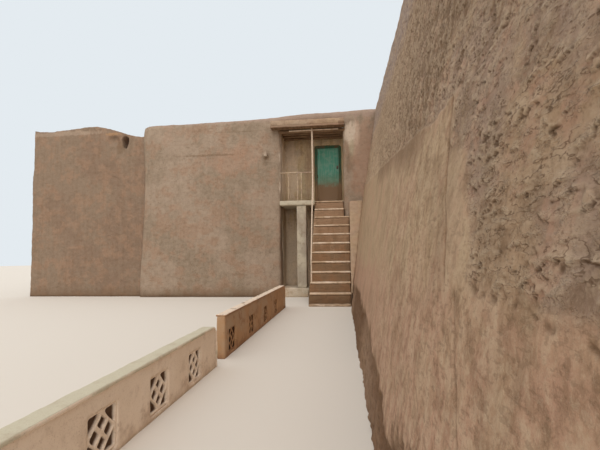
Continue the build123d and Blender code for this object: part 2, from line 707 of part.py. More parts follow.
def block_holes():
    """Sketch of the holes: four corners outside a rhombus of ribs, four leaves inside it."""
    wide = BLOCK_WIDTH / 2 - BLOCK_RIM
    tall = BLOCK_HEIGHT / 2 - BLOCK_RIM
    slant = (wide ** 2 + tall ** 2) ** 0.5
    beside = BLOCK_RIB / 2 * slant / tall
    above = BLOCK_RIB / 2 * slant / wide
    with BuildSketch() as corner:
        with BuildLine():
            Polyline((wide, above), (wide, tall), (beside, tall))
            bowed((beside, tall), (wide, above), BLOCK_BOW)
        make_face()
    with BuildSketch() as leaf:
        tip, root = wide - beside, beside
        half = tall / 2 - above
        with BuildLine():
            bowed((tip, 0), (wide / 2, -half), -BLOCK_BOW / 2)
            Polyline((wide / 2, -half), (root, 0), (wide / 2, half))
            bowed((wide / 2, half), (tip, 0), -BLOCK_BOW / 2)
        make_face()
    with BuildSketch() as stem:
        tip, root = tall - above, above
        half = wide / 2 - beside
        with BuildLine():
            bowed((0, tip), (half, tall / 2), BLOCK_BOW / 2)
            Polyline((half, tall / 2), (0, root), (-half, tall / 2))
            bowed((-half, tall / 2), (0, tip), BLOCK_BOW / 2)
        make_face()
    with BuildSketch() as holes:
        for hole, planes in ((corner, (Plane.YZ, Plane.XZ)), (leaf, (Plane.YZ,)), (stem, (Plane.XZ,))):
            add(hole.sketch)
            for plane in planes:
                mirror(holes.sketch, about=plane)
    return holes.sketch


def pierced_blocks(places):
    """Cast blocks pierced with corners and leaves, which leave bowed ribs and a cross."""
    holes = block_holes()
    with BuildPart() as made:
        with BuildSketch(side(-GARDEN_X - (GARDEN_WALL + BLOCK_DEPTH) / 2)):
            for place in places:
                with Locations((place, BLOCK_FOOT + BLOCK_HEIGHT / 2)):
                    Rectangle(BLOCK_WIDTH, BLOCK_HEIGHT)
                    add(holes, mode=Mode.SUBTRACT)
        extrude(amount=BLOCK_DEPTH)
    return made.part


NEAR_PLACES = block_places(NEAR_FIRST, BLOCK_PITCH, NEAR_COUNT)
FAR_PLACES = block_places(FAR_FIRST, FAR_PITCH, FAR_COUNT)
save(garden_wall(NEAR_START, NEAR_END, NEAR_HEIGHT, NEAR_ROUND, NEAR_PLACES), "garden_wall_near")
save(garden_coping(NEAR_START, NEAR_END, NEAR_HEIGHT, NEAR_ROUND), "garden_coping_near")
save(pierced_blocks(NEAR_PLACES), "garden_screens_near")
save(garden_wall(FAR_START, FAR_END, FAR_HEIGHT, NEAR_ROUND, FAR_PLACES), "garden_wall_far")
save(garden_coping(FAR_START, FAR_END, FAR_HEIGHT, NEAR_ROUND), "garden_coping_far")
save(pierced_blocks(FAR_PLACES), "garden_screens_far")

# Broken stub standing out of the facade
with BuildPart() as wall_peg:
    add(
        block(
            -PEG_X - PEG_WIDTH / 2, -PEG_X + PEG_WIDTH / 2, -PEG_REACH, PEG_BED,
            PEG_Z - PEG_TALL / 2, PEG_Z + PEG_TALL / 2,
        )
    )
    add(front_wall_left.part, mode=Mode.SUBTRACT)
save(wall_peg.part, "wall_peg")
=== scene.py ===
import math

import bpy
import numpy as np
from mathutils import Matrix, Vector, noise


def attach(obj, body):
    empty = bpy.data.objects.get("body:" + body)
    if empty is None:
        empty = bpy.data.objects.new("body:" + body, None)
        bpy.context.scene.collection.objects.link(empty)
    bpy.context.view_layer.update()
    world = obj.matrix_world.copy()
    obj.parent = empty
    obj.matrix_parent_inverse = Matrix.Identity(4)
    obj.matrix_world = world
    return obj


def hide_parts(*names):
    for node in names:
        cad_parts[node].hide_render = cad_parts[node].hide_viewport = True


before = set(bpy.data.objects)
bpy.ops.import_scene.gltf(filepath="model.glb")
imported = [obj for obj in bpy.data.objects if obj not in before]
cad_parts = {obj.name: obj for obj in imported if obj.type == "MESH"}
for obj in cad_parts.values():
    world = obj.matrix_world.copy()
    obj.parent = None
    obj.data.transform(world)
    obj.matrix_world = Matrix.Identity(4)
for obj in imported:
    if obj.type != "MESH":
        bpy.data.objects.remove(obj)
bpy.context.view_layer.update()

# Looks of an adobe house at the end of a walled courtyard. Metres, +Z up, +Y away from the
# courtyard. Places given "from the corner" are measured from the foot of the courtyard corner,
# where the tall wall meets the facade.

bl_info = {
    "name": "Adobe house",
    "version": (1, 0, 0),
    "blender": (4, 5, 0),
    "location": "View3D > Sidebar > Adobe house",
    "description": "Dresses the adobe house, its stair and its courtyard walls",
    "category": "Object",
}

CORNER = Vector((4.480, 4.290, 0.0))  # in the part's own frame


# Settings a user may change

def colour(name, red, green, blue, description):
    """Colour setting, written as it shows in plain daylight, 0 to 255."""
    return bpy.props.FloatVectorProperty(
        name=name, description=description, subtype="COLOR_GAMMA", size=3, min=0.0, max=1.0,
        default=(red / 255, green / 255, blue / 255),
    )


def length(name, metres, description):
    """Length setting in metres."""
    return bpy.props.FloatProperty(
        name=name, description=description, default=metres, min=0.0, unit="LENGTH",
    )


class HouseColours(bpy.types.PropertyGroup):
    facade: colour("Facade mud", 145, 127, 107, "Mud of the house walls")
    facade_pale: colour("Facade bloom", 176, 154, 134, "Sun-bleached patches on the house walls")
    facade_red: colour("Facade red", 157, 125, 101, "Redder mud in the house walls")
    facade_dark: colour("Facade shade", 112, 88, 65, "Pits and stains in the house walls")
    washed: colour("Washed plaster", 186, 172, 142, "Pale wash beside the porch")
    # Painted light: the porch mud is far paler than the facade mud, standing in for the light the porch gets under
    # its roof.
    porch: colour("Porch mud", 208, 180, 142, "Mud inside the porch")
    porch_dark: colour("Porch stain", 140, 110, 80, "Stains low and deep in the porch")
    yard: colour("Yard wall mud", 136, 112, 93, "Mud of the broken wall on the left")
    flake: colour("Tall wall flakes", 174, 145, 116, "Flaking mud, high on the tall wall")
    flake_brown: colour("Tall wall brown", 122, 95, 70, "Browner, weathered mud of the tall wall")
    flake_grey: colour("Tall wall grey", 160, 136, 120, "Greyer flakes of the tall wall")
    crest_grey: colour("Wall crest", 140, 122, 116, "Grey wash near the top of the tall wall")
    coat: colour("Tall wall coat", 176, 150, 119, "Smoother coat, low on the tall wall")
    coat_pink: colour("Tall wall pink", 178, 139, 115, "Pinker patches of the smoother coat")
    coat_pale: colour("Tall wall streaks", 198, 175, 147, "Pale runs down the smoother coat")
    # Painted shade, laid into cracks, under the rims of flakes and in pits.
    crevice_shade: colour("Crevices", 96, 70, 48, "Deep cracks and undersides of flakes")
    # Worn mud at the foot, darkened further by painted shade under the coat's overhang.
    foot: colour("Damp foot", 112, 82, 57, "Worn, darker foot of the walls")
    stair: colour("Stair mud", 138, 111, 85, "Lower risers and flank of the stair")
    stair_high: colour("Upper stair mud", 164, 132, 104, "Upper risers of the stair")
    tread: colour("Treads", 196, 168, 138, "Pale edges and tops of the steps")
    roof: colour("Roof mud", 154, 131, 105, "Mud of the roofs")
    timber: colour("Timber", 108, 78, 56, "Poles, ceiling boards and worn door frame")
    timber_pale: colour("Bare timber", 156, 130, 100, "Bleached wood")
    paint: colour("Door paint", 86, 158, 134, "Green paint of the door")
    paint_dark: colour("Frame paint", 50, 92, 66, "Darker green of the door frame")
    paint_pale: colour("Faded paint", 138, 172, 152, "Paint faded by the sun")
    concrete: colour("Pale concrete", 192, 180, 157, "Landing slab, plinth and pier")
    plaster: colour("Pale plaster", 168, 154, 135, "Pier and stub")
    garden: colour("Garden plaster", 230, 209, 186, "Faces of the garden walls")
    # Older mud of the farther wall, darkened further by painted shade of the garden's plants.
    garden_far: colour("Garden mud", 176, 136, 98, "Older face of the farther garden wall")
    garden_stain: colour("Garden stain", 152, 112, 80, "Soil splashed up the garden walls")
    block_shade: colour("Near block shade", 88, 57, 32, "Soil and shade inside the near pierced blocks")
    block_deep: colour("Far block shade", 52, 32, 18, "Shade inside the far pierced blocks")
    plaster_pale: colour("Clean garden plaster", 236, 216, 194, "Cleaner plaster of the garden walls")
    coping: colour("Coping", 200, 191, 167, "Weathered tops of the nearer garden wall")
    pipe: colour("Pipe paint", 214, 192, 168, "Cream paint on the post and stair rail")
    pipe_old: colour("Old pipe paint", 192, 170, 140, "Weathered paint on the landing rail")
    iron: colour("Iron", 70, 60, 54, "Hinges and latch")
    rust: colour("Rust", 122, 74, 44, "Rust on pipes and iron")
    floor: colour("Floor", 220, 211, 199, "Studio floor")
    backdrop: colour("Backdrop", 228, 235, 240, "Background behind the object")


class HouseSizes(bpy.types.PropertyGroup):
    wall_grain: length("House wall grain", 0.068, "Mesh size on the house walls")
    yard_grain: length("Yard wall grain", 0.044, "Mesh size on the yard wall")
    stair_grain: length("Stair grain", 0.029, "Mesh size on the stair")
    tread_grain: length("Tread grain", 0.018, "Mesh size on the treads")
    block_grain: length("Block grain", 0.0078, "Mesh size on the nearer pierced blocks")
    wave: length("Wall waves", 0.060, "How uneven the walls are over a metre")
    lump: length("Wall lumps", 0.026, "How uneven the walls are over a hand's breadth")
    flake_wide: length("Flake width", 0.112, "Width of the flakes on the tall wall")
    flake_tall: length("Flake height", 0.056, "Height of the flakes on the tall wall")
    flake_lift: length("Flake lift", 0.006, "How far flakes stand out on the tall wall")
    coat_lift: length("Coat lift", 0.014, "How far the lower coat stands out on the tall wall")


# Shader building

def linear(srgb):
    """Shader colour for a colour setting."""
    return tuple(c / 12.92 if c <= 0.04045 else ((c + 0.055) / 1.055) ** 2.4 for c in srgb) + (1.0,)


class Socket:
    """A shader value; expressions on it add Math nodes."""

    def __init__(self, shade, output):
        self.shade = shade
        self.output = output

    def math(self, operation, *values):
        return self.shade.node("ShaderNodeMath", {"operation": operation}, dict(enumerate(values)))

    def __add__(self, other):
        return self.math("ADD", self, other)

    def __sub__(self, other):
        return self.math("SUBTRACT", self, other)

    def __rsub__(self, other):
        return self.math("SUBTRACT", other, self)

    def __mul__(self, other):
        return self.math("MULTIPLY", self, other)


class Shade:
    """A procedural material, built on its Principled shader."""

    def __init__(self, name):
        self.material = bpy.data.materials.new(name)
        self.material.use_nodes = True
        self.tree = self.material.node_tree
        self.shader = self.tree.nodes["Principled BSDF"]
        self.place = self.node("ShaderNodeTexCoord", {}, {}, "Object")

    def node(self, kind, settings, inputs, output=0):
        """Adds a node: settings first, then the values or links of its sockets."""
        made = self.tree.nodes.new(kind)
        for name, value in settings.items():
            setattr(made, name, value)
        for name, value in inputs.items():
            self.feed(made.inputs[name], value)
        return Socket(self, made.outputs[output])

    def feed(self, target, value):
        if isinstance(value, Socket):
            self.tree.links.new(value.output, target)
        else:
            target.default_value = value

    def noise(self, scale, detail, rough=0.55, place=None):
        return self.node(
            "ShaderNodeTexNoise", {},
            {"Vector": place or self.place, "Scale": scale, "Detail": detail, "Roughness": rough},
        )

    def cells(self, scale, feature, place):
        return self.node("ShaderNodeTexVoronoi", {"feature": feature}, {"Vector": place, "Scale": scale}, "Distance")

    def vector(self, operation, *values, output="Vector"):
        return self.node("ShaderNodeVectorMath", {"operation": operation}, dict(enumerate(values)), output)

    def stretched(self, x, y, z, place=None):
        """The piece's own coordinates, scaled along each axis."""
        return self.vector("MULTIPLY", place or self.place, (x, y, z))

    def warped(self, scale, reach):
        """The piece's own coordinates, pushed about by noise."""
        push = self.node("ShaderNodeTexNoise", {}, {"Vector": self.place, "Scale": scale, "Detail": 3.0}, "Color")
        return self.vector("MULTIPLY_ADD", push, (reach, reach, reach), self.place)

    def scales(self, wide, tall, ragged=11.0, low=0.49):
        """Small scales of mud: how far they stand out, and a line of painted shade under each."""
        place = self.stretched(1.0 / wide, 1.0 / wide, 1.0 / tall)
        level = self.axis("Z") * (1.0 / tall) + self.noise(0.6, 4.0, 0.6, place) * ragged
        saw = level.math("FRACT", level)
        chosen = self.between(self.noise(0.8, 3.0, 0.6, place), low, low + 0.07)
        return chosen * (1 - saw), chosen * self.between(saw, 0.78, 0.95)

    def axis(self, letter):
        return self.node("ShaderNodeSeparateXYZ", {}, {0: self.place}, letter)

    def between(self, value, low, high, start=0.0, end=1.0):
        """Smooth step of a value from start at low to end at high."""
        return self.node(
            "ShaderNodeMapRange", {"interpolation_type": "SMOOTHSTEP"},
            {"Value": value, "From Min": low, "From Max": high, "To Min": start, "To Max": end},
        )

    def mix(self, factor, first, second):
        return self.node("ShaderNodeMix", {"data_type": "RGBA"}, {0: factor, 6: first, 7: second}, 2)

    def over(self, tone, *layers):
        """Lays colour settings over a tone, each by a factor, or by a value, the ends of its step and a strength."""
        for *factor, tint in layers:
            if len(factor) > 1:
                value, low, high, strength = factor
                factor = (self.between(value, low, high) * strength,)
            tone = self.mix(*factor, tone, linear(tint))
        return tone

    def oval(self, centre, reach):
        """Fades from 1 near a place, measured from the corner, to 0 at its reach, with a ragged edge."""
        place = self.vector("SUBTRACT", self.place, tuple(CORNER + Vector(centre)))
        away = self.vector("LENGTH", self.stretched(*(1.0 / size for size in reach), place), output="Value")
        ragged = self.noise(7.0, 5.0, 0.65, self.stretched(1.0, 1.0, 0.35))
        return self.between(away + (ragged - 0.5) * 2.1, 1.15, 0.55)

    def attribute(self, name, output="Color"):
        return self.node("ShaderNodeAttribute", {"attribute_name": name}, {}, output)

    def channels(self, name):
        """The red, green, blue and alpha of a colour attribute."""
        colours = self.attribute(name)
        parts = [self.node("ShaderNodeSeparateColor", {}, {0: colours}, part) for part in ("Red", "Green", "Blue")]
        return (*parts, self.attribute(name, "Alpha"))

    def finish(self, tone, rough, height, shine=0.2):
        """Links colour, roughness and bump height in metres, and sets how much it shines."""
        self.feed(self.shader.inputs["Base Color"], tone)
        self.feed(self.shader.inputs["Roughness"], rough)
        bump = self.node("ShaderNodeBump", {}, {"Height": height, "Strength": 1.0, "Distance": 1.0})
        self.feed(self.shader.inputs["Normal"], bump)
        self.feed(self.shader.inputs["Specular IOR Level"], shine)
        return self.material


def mud(name, base, pale, red, dark, crack=0.0, streak=0.08, damp=0.6, marks=()):
    """Sun-dried mud: bleached and redder patches, grit, straw, cracks, rain streaks, a damp foot, and painted shade
    under the rims of small scales.

    Each mark is a place from the corner, its reach along each axis, a colour and a strength.
    """
    s = Shade(name)
    broad = s.noise(0.7, 4.0)
    patch = s.noise(2.4, 5.0, 0.6)
    mottle = s.noise(8.5, 6.0, 0.7)
    grit = s.noise(36.0, 6.0, 0.75)
    fine = s.noise(150.0, 3.0, 0.6)
    run = s.noise(1.0, 4.0, 0.6, s.stretched(9.0, 9.0, 0.8))
    out, under = s.scales(0.11, 0.060)
    tone = s.over(
        linear(base),
        (broad, 0.44, 0.58, 0.45, pale), (patch, 0.47, 0.60, 0.60, red),
        (mottle, 0.50, 0.62, 0.24, pale), (mottle, 0.48, 0.36, 0.26, dark),
        (run, 0.50, 0.62, streak, dark), (run, 0.48, 0.38, streak, pale),
        *((s.oval(place, reach) * strength, mark) for place, reach, mark, strength in marks),
        # Painted shade under the rims of the scales.
        (under * 0.30, dark),
        (grit, 0.52, 0.66, 0.42, dark), (grit, 0.46, 0.34, 0.30, pale), (fine, 0.57, 0.66, 0.40, pale),
    )
    if crack:
        seam = s.between(s.cells(3.4, "DISTANCE_TO_EDGE", s.warped(2.5, 0.3)), 0.030, 0.0)
        tone = s.over(tone, (seam * s.between(s.noise(1.3, 2.0), 0.50, 0.60) * (crack * 0.7), dark))
    tone = s.over(tone, (s.axis("Z") - patch * 0.5, 0.15, -0.25, damp, dark))
    height = patch * 0.030 + mottle * 0.018 + grit * 0.010 + fine * 0.0016 + out * 0.004
    return s.finish(tone, s.between(grit, 0.2, 0.8, 0.86, 0.98), height)


# Detail of the tall wall grows towards the viewpoint, on its face alone. From the corner
DETAIL_START, DETAIL_FULL = -6.5, -11.2
FACE_END, BACK_START = 0.9, 1.2


def tall_mud(name, c):
    """The tall wall: its zones, tones and relief come from the piece's own attributes, painted shade and highlights
    among them.
    """
    s = Shade(name)
    rough, gap_shade, foot, relief = s.channels("mud_zones")
    # The pale tone carries painted highlight along the ridge of the ledge.
    pale, pink, high, crest = s.channels("mud_tones")
    front = s.between(s.axis("X"), CORNER.x + BACK_START, CORNER.x + FACE_END)
    close = s.between(s.axis("Y"), CORNER.y + DETAIL_START, CORNER.y + DETAIL_FULL) * front * 0.75 + 0.25
    broad = s.noise(2.1, 4.0, 0.6)
    hue = s.noise(5.0, 4.0, 0.6, s.warped(3.0, 0.2))
    patch = s.noise(9.0, 5.0, 0.65)
    grit = s.noise(70.0, 6.0, 0.75)
    fine = s.noise(260.0, 4.0, 0.7)
    run = s.noise(1.0, 6.0, 0.7, s.stretched(11.0, 11.0, 3.0, s.warped(5.0, 0.12)))
    mark = s.noise(1.0, 3.0, 0.6, s.stretched(16.0, 16.0, 52.0))
    dab = s.noise(24.0, 5.0, 0.7)
    out, under = s.scales(0.040, 0.024)
    wide_out, wide_under_shade = s.scales(0.130, 0.046, 8.0, 0.45)

    # Smoother coat below, flaking mud above
    coat = s.over(
        linear(c.coat), (pink, c.coat_pink),
        (broad, 0.49, 0.58, 0.40, c.coat_pink), (broad, 0.49, 0.40, 0.28, c.flake_brown),
        (hue, 0.50, 0.57, close * 0.50, c.flake), (hue, 0.48, 0.40, close * 0.40, c.coat_pink),
        (patch, 0.50, 0.57, close * 0.30, c.coat_pale), (patch, 0.48, 0.40, close * 0.38, c.flake_brown),
        (run, 0.50, 0.57, close * 0.18, c.coat_pale), (run, 0.48, 0.40, close * 0.22, c.flake_brown),
        (dab, 0.53, 0.61, close * 0.25, c.coat_pale), (dab, 0.46, 0.38, close * 0.35, c.facade_dark),
        (mark, 0.56, 0.62, close * 0.34, c.facade_dark), (high * 0.75, c.flake_brown),
    )
    flake = s.over(
        linear(c.flake),
        (broad, 0.42, 0.60, 0.75, c.flake_grey), (hue, 0.50, 0.60, 0.65, c.coat_pink),
        (hue, 0.46, 0.36, 0.55, c.flake_brown), (high * s.between(hue, 0.62, 0.50, 0.45), c.flake_brown),
        (patch, 0.50, 0.62, 0.28, c.coat_pale), (patch, 0.47, 0.36, 0.35, c.facade_dark),
        ((1 - close) * 0.45, c.coat),
    )
    tone = s.over(
        s.mix(rough, coat, flake),
        (hue, 0.66, 0.50, crest, c.crest_grey), (pale * 0.20, c.coat_pale),
        # Painted light and shade: paler where the relief stands out, darker where it sinks.
        (relief, 0.52, 0.85, 0.40, c.coat_pale), (relief, 0.48, 0.15, 0.60, c.facade_dark),
        (grit, 0.54, 0.66, close * (rough * 0.25 + 0.20), c.facade_dark), (grit, 0.46, 0.34, 0.25, c.coat_pale),
        (fine, 0.56, 0.66, 0.22, c.coat_pale),
        # Painted highlight on the rims of the scales, and painted shade under them.
        (out * rough * 0.22, c.coat_pale), (under * close * (rough * 0.42 + 0.12), c.crevice_shade),
        (wide_out * rough * 0.16, c.coat_pale), (wide_under_shade * rough * close * 0.62, c.crevice_shade),
        # Painted shade: crevice colour in the gaps; the foot colour is partly painted shade under the coat's
        # overhang.
        (foot, c.foot), (gap_shade, c.crevice_shade),
    )
    height = out * (rough * 0.0028 + 0.0008) + wide_out * rough * 0.005 + patch * 0.008 + dab * 0.0024
    height = height + grit * (rough * 0.0045 + 0.0016) + fine * 0.0008 + run * (1 - rough) * 0.001
    return s.finish(tone, s.between(grit, 0.2, 0.8, 0.85, 0.98), height * close)


def wood(name, base, pale, dark, along):
    """Weathered wood with its grain along one axis."""
    s = Shade(name)
    squeeze = [90.0, 90.0, 90.0]
    squeeze["XYZ".index(along)] = 2.5
    grain = s.noise(1.0, 5.0, 0.62, s.stretched(*squeeze))
    knot = s.noise(6.0, 3.0)
    tone = s.over(
        linear(base),
        (grain, 0.35, 0.70, 1.0, pale), (grain, 0.50, 0.30, 0.7, dark), (knot, 0.55, 0.75, 0.5, dark),
    )
    return s.finish(tone, s.between(grain, 0.2, 0.8, 0.7, 0.95), grain * 0.0022 + knot * 0.002, shine=0.25)


def painted(name, base, pale, bare, under, wear=0.5, low=0.0, soil=None):
    """Old paint, bleached, chipped to what lies under it, and soiled below a height."""
    s = Shade(name)
    patch = s.noise(5.0, 5.0, 0.6)
    run = s.noise(1.0, 4.0, 0.6, s.stretched(38.0, 38.0, 2.0))
    chip = s.noise(26.0, 5.0, 0.7)
    lost = s.between(chip * 0.7 + patch * 0.3, 0.64 - 0.1 * wear, 0.68 - 0.1 * wear)
    tone = s.over(linear(base), (run, 0.46, 0.60, 0.40, pale), (patch, 0.48, 0.60, 0.50, bare), (lost, under))
    if soil:
        height = s.axis("Z") + (chip - 0.5) * 0.35 + (patch - 0.5) * 0.5
        tone = s.over(tone, (height, low + 0.13, low - 0.13, 1.0, soil), (height, low + 0.50, low, 0.35, soil))
    rough = s.between(lost + patch * 0.4, 0.1, 1.2, 0.55, 0.9)
    return s.finish(tone, rough, run * 0.0012 - lost * 0.0006, shine=0.3)


def cast(name, base, pale, dark, soil, top=None):
    """Cement or plaster with pores, stains, soil washed onto it and, where given, a paler top."""
    s = Shade(name)
    broad = s.noise(1.6, 5.0, 0.62)
    patch = s.noise(7.0, 5.0, 0.62)
    grit = s.noise(95.0, 4.0, 0.65)
    pore = s.between(s.cells(60.0, "F1", s.warped(30.0, 0.01)), 0.22, 0.10) * s.between(patch, 0.48, 0.6)
    tone = s.over(linear(base), (broad, 0.42, 0.60, 1.0, pale))
    if top:
        tone = s.over(tone, (s.attribute("upward", "Fac") + (patch - 0.5) * 0.6, 0.45, 0.75, 1.0, top))
    tone = s.over(
        tone,
        (patch, 0.52, 0.66, soil, dark), (grit, 0.54, 0.68, 0.25, dark), (pore * 0.4, dark),
        (s.axis("Z") - (patch - 0.5) * 0.6, 0.16, -0.02, min(1.0, soil + 0.2), dark),
    )
    height = patch * 0.006 + grit * 0.0018 - pore * 0.002
    return s.finish(tone, s.between(grit, 0.2, 0.8, 0.8, 0.96), height, shine=0.25)


def pierced(name, base, pale, dark, front, depth):
    """Cast blocks: pale faces, and openings painted darker with their depth behind the face, as painted shade."""
    s = Shade(name)
    patch = s.noise(9.0, 5.0, 0.65)
    grit = s.noise(95.0, 4.0, 0.65)
    tone = s.over(
        linear(base),
        (patch, 0.42, 0.60, 1.0, pale), (grit, 0.54, 0.68, 0.3, dark),
        (s.axis("X") + (patch - 0.5) * 0.02, front - 0.004, front - depth, 0.95, dark),
    )
    return s.finish(tone, s.between(grit, 0.2, 0.8, 0.85, 0.97), patch * 0.005 + grit * 0.002)


def pipe_paint(name, base, pale, rust):
    """Cream paint on steel pipe, rusting through."""
    s = Shade(name)
    patch = s.noise(9.0, 5.0, 0.65)
    speck = s.noise(70.0, 4.0, 0.7)
    lost = s.between(speck * 0.6 + patch * 0.4, 0.54, 0.60)
    tone = s.over(linear(base), (patch, 0.44, 0.58, 1.0, pale), (lost * 0.8, rust))
    return s.finish(tone, s.between(lost, 0.0, 1.0, 0.5, 0.85), speck * 0.0008 - lost * 0.0004)


# Modelling helpers

def deselect():
    if bpy.context.object and bpy.context.object.mode != "OBJECT":
        bpy.ops.object.mode_set(mode="OBJECT")
    bpy.ops.object.select_all(action="DESELECT")


def pick(piece):
    """Makes a piece the only one selected, and the active one."""
    deselect()
    piece.select_set(True)
    bpy.context.view_layer.objects.active = piece


def apply(piece, kind, **settings):
    """Adds a modifier with its settings and applies it."""
    pick(piece)
    modifier = piece.modifiers.new(kind.title(), kind)
    for name, value in settings.items():
        setattr(modifier, name, value)
    bpy.ops.object.modifier_apply(modifier=modifier.name)


def smooth(piece, degrees=180.0):
    pick(piece)
    if degrees >= 180.0:
        bpy.ops.object.shade_smooth()
    else:
        bpy.ops.object.shade_smooth_by_angle(angle=math.radians(degrees))


def copy_of(name, *nodes):
    """One new piece from copies of CAD nodes, each with its loose triangles merged."""
    deselect()
    copies = [bpy.data.objects.new(name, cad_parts[node].data.copy()) for node in nodes]
    for piece in copies:
        bpy.context.collection.objects.link(piece)
        piece.data.materials.clear()
        piece.select_set(True)
    piece = bpy.context.view_layer.objects.active = copies[0]
    if len(copies) > 1:
        bpy.ops.object.join()
    bpy.ops.object.mode_set(mode="EDIT")
    bpy.ops.mesh.select_all(action="SELECT")
    bpy.ops.mesh.remove_doubles(threshold=0.00002)
    bpy.ops.object.mode_set(mode="OBJECT")
    if piece.data.has_custom_normals:
        bpy.ops.mesh.customdata_custom_splitnormals_clear()
    return piece


def points_of(piece):
    spots = np.zeros(len(piece.data.vertices) * 3)
    piece.data.vertices.foreach_get("co", spots)
    return spots.reshape(-1, 3)


def move_points(piece, spots):
    piece.data.vertices.foreach_set("co", np.asarray(spots, float).ravel())
    piece.data.update()


def roughen(piece, size, depth, strength):
    """Pushes the surface in and out by clouds of a given size."""
    texture = bpy.data.textures.new("clouds", "CLOUDS")
    texture.noise_scale = size
    texture.noise_depth = depth
    apply(piece, "DISPLACE", texture=texture, strength=strength, mid_level=0.5, texture_coords="LOCAL")


def store(piece, **layers):
    """Keeps colour attributes for the material of a piece, four values a point."""
    for name, values in layers.items():
        layer = piece.data.attributes.new(name, "FLOAT_COLOR", "POINT")
        layer.data.foreach_set("color", np.ravel(values))


def mark_tops(piece):
    """Stores how far each point of a piece faces up, for pale, worn tops."""
    normals = np.zeros(len(piece.data.vertices) * 3)
    piece.data.vertices.foreach_get("normal", normals)
    layer = piece.data.attributes.new("upward", "FLOAT", "POINT")
    layer.data.foreach_set("value", normals[2::3])


def dress(piece, material, slot, *nodes):
    """Gives a finished piece its material and body, and hides the CAD nodes it stands for. The slot is not used."""
    piece.data.materials.clear()
    piece.data.materials.append(material)
    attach(piece, "root")
    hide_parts(*nodes)


def carry(material, node):
    """Gives a CAD node that stays as it is its material."""
    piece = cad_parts[node]
    if not piece.material_slots:
        piece.data.materials.append(material)
    for slot in piece.material_slots:
        slot.material = material


def worn(name, nodes, material, slot, grain, relax, *wear, ground=0.0):
    """Dressed piece from CAD nodes, with rounded arrises and an uneven surface.

    Wear is the size, depth and strength of each texture. What is lower than ground is set on the ground.
    """
    piece = copy_of(name, *nodes)
    apply(piece, "REMESH", mode="VOXEL", voxel_size=grain)
    apply(piece, "SMOOTH", factor=0.5, iterations=relax)
    for texture in wear:
        roughen(piece, *texture)
    if ground:
        spots = points_of(piece)
        spots[spots[:, 2] < ground, 2] = 0.0
        move_points(piece, spots)
    smooth(piece)
    dress(piece, material, slot, *nodes)
    return piece


def step(value, start, end):
    """Smooth step of an array from 0 at start to 1 at end, which may be the lower of the two."""
    t = np.clip((value - start) / (end - start), 0.0, 1.0)
    return t * t * (3.0 - 2.0 * t)


def bell(value, width):
    """Closeness of an array to 0, within a width."""
    return np.exp(-(value / width) ** 2)


def follow(line, at):
    """Value of a line of (place, value) pairs at given places."""
    return np.interp(at, *zip(*line))


def field(spots, size, octaves):
    """Fractal noise of about plus or minus one over points, with features of a given size."""
    return np.array([noise.fractal(Vector(p) / size, 0.8, 2.1, octaves) for p in spots])


# Stage

EYE_Y = -12.68  # from the corner
EYE = CORNER + Vector((0.0, EYE_Y, 1.300))
YAW, PITCH, ROLL = math.radians(6.57), math.radians(3.93), math.radians(-0.72)
LENS, SENSOR = 25.2, 36.0  # millimetres
FLOOR_RADIUS = 70.0
SKY_STRENGTH = 0.85
SUN_PLACE = (-4.0, -8.0, 12.0)
SUNS = (  # name, strength, spread in degrees, direction towards the light
    ("soft_sun", 0.85, 26.0, (0.06, -0.46, 0.88)),
    ("open_sky", 1.1, 70.0, (0.34, -0.90, 0.28)),
)


class ADOBE_OT_stage(bpy.types.Operator):
    """Floor, background, light and camera"""
    bl_idname = "adobe.stage"
    bl_label = "Stage"

    def execute(self, context):
        c = context.scene.adobe_colours
        deselect()
        bpy.ops.mesh.primitive_circle_add(vertices=96, radius=FLOOR_RADIUS, fill_type="NGON", location=(0, 0, 0))
        floor = context.object
        floor.name = "floor"
        s = Shade("studio_floor")
        floor.data.materials.append(s.finish(linear(c.floor), 0.9, s.noise(3.0, 2.0) * 0.001, shine=0.1))

        # White light on everything, the backdrop's colour wherever it is seen
        world = bpy.data.worlds.new("studio")
        world.use_nodes = True
        nodes, links = world.node_tree.nodes, world.node_tree.links
        nodes.clear()
        mix = nodes.new("ShaderNodeMixShader")
        for place, tone, strength in ((1, (1.0, 1.0, 1.0, 1.0), SKY_STRENGTH), (2, linear(c.backdrop), 1.0)):
            light = nodes.new("ShaderNodeBackground")
            light.inputs["Color"].default_value = tone
            light.inputs["Strength"].default_value = strength
            links.new(light.outputs[0], mix.inputs[place])
        rays = nodes.new("ShaderNodeLightPath").outputs
        seen = rays["Is Camera Ray"]
        for ray in ("Is Glossy Ray", "Is Transmission Ray"):
            either = nodes.new("ShaderNodeMath")
            either.operation = "MAXIMUM"
            links.new(seen, either.inputs[0])
            links.new(rays[ray], either.inputs[1])
            seen = either.outputs[0]
        links.new(seen, mix.inputs[0])
        links.new(mix.outputs[0], nodes.new("ShaderNodeOutputWorld").inputs[0])
        context.scene.world = world

        for name, strength, spread, toward in SUNS:
            bpy.ops.object.light_add(type="SUN", location=SUN_PLACE)
            sun = context.object
            sun.name = name
            sun.data.energy = strength
            sun.data.angle = math.radians(spread)
            sun.rotation_euler = Vector(toward).to_track_quat("Z", "Y").to_euler()

        bpy.ops.object.camera_add(location=EYE)
        camera = context.object
        camera.name = "viewpoint"
        camera.data.lens = LENS
        camera.data.sensor_width = SENSOR
        turn = Matrix.Rotation(YAW, 3, "Z") @ Matrix.Rotation(math.radians(90.0) + PITCH, 3, "X")
        camera.rotation_euler = (turn @ Matrix.Rotation(ROLL, 3, "Z")).to_euler()
        context.scene.camera = camera
        context.scene.view_settings.view_transform = "Standard"
        return {"FINISHED"}


# Mud masses

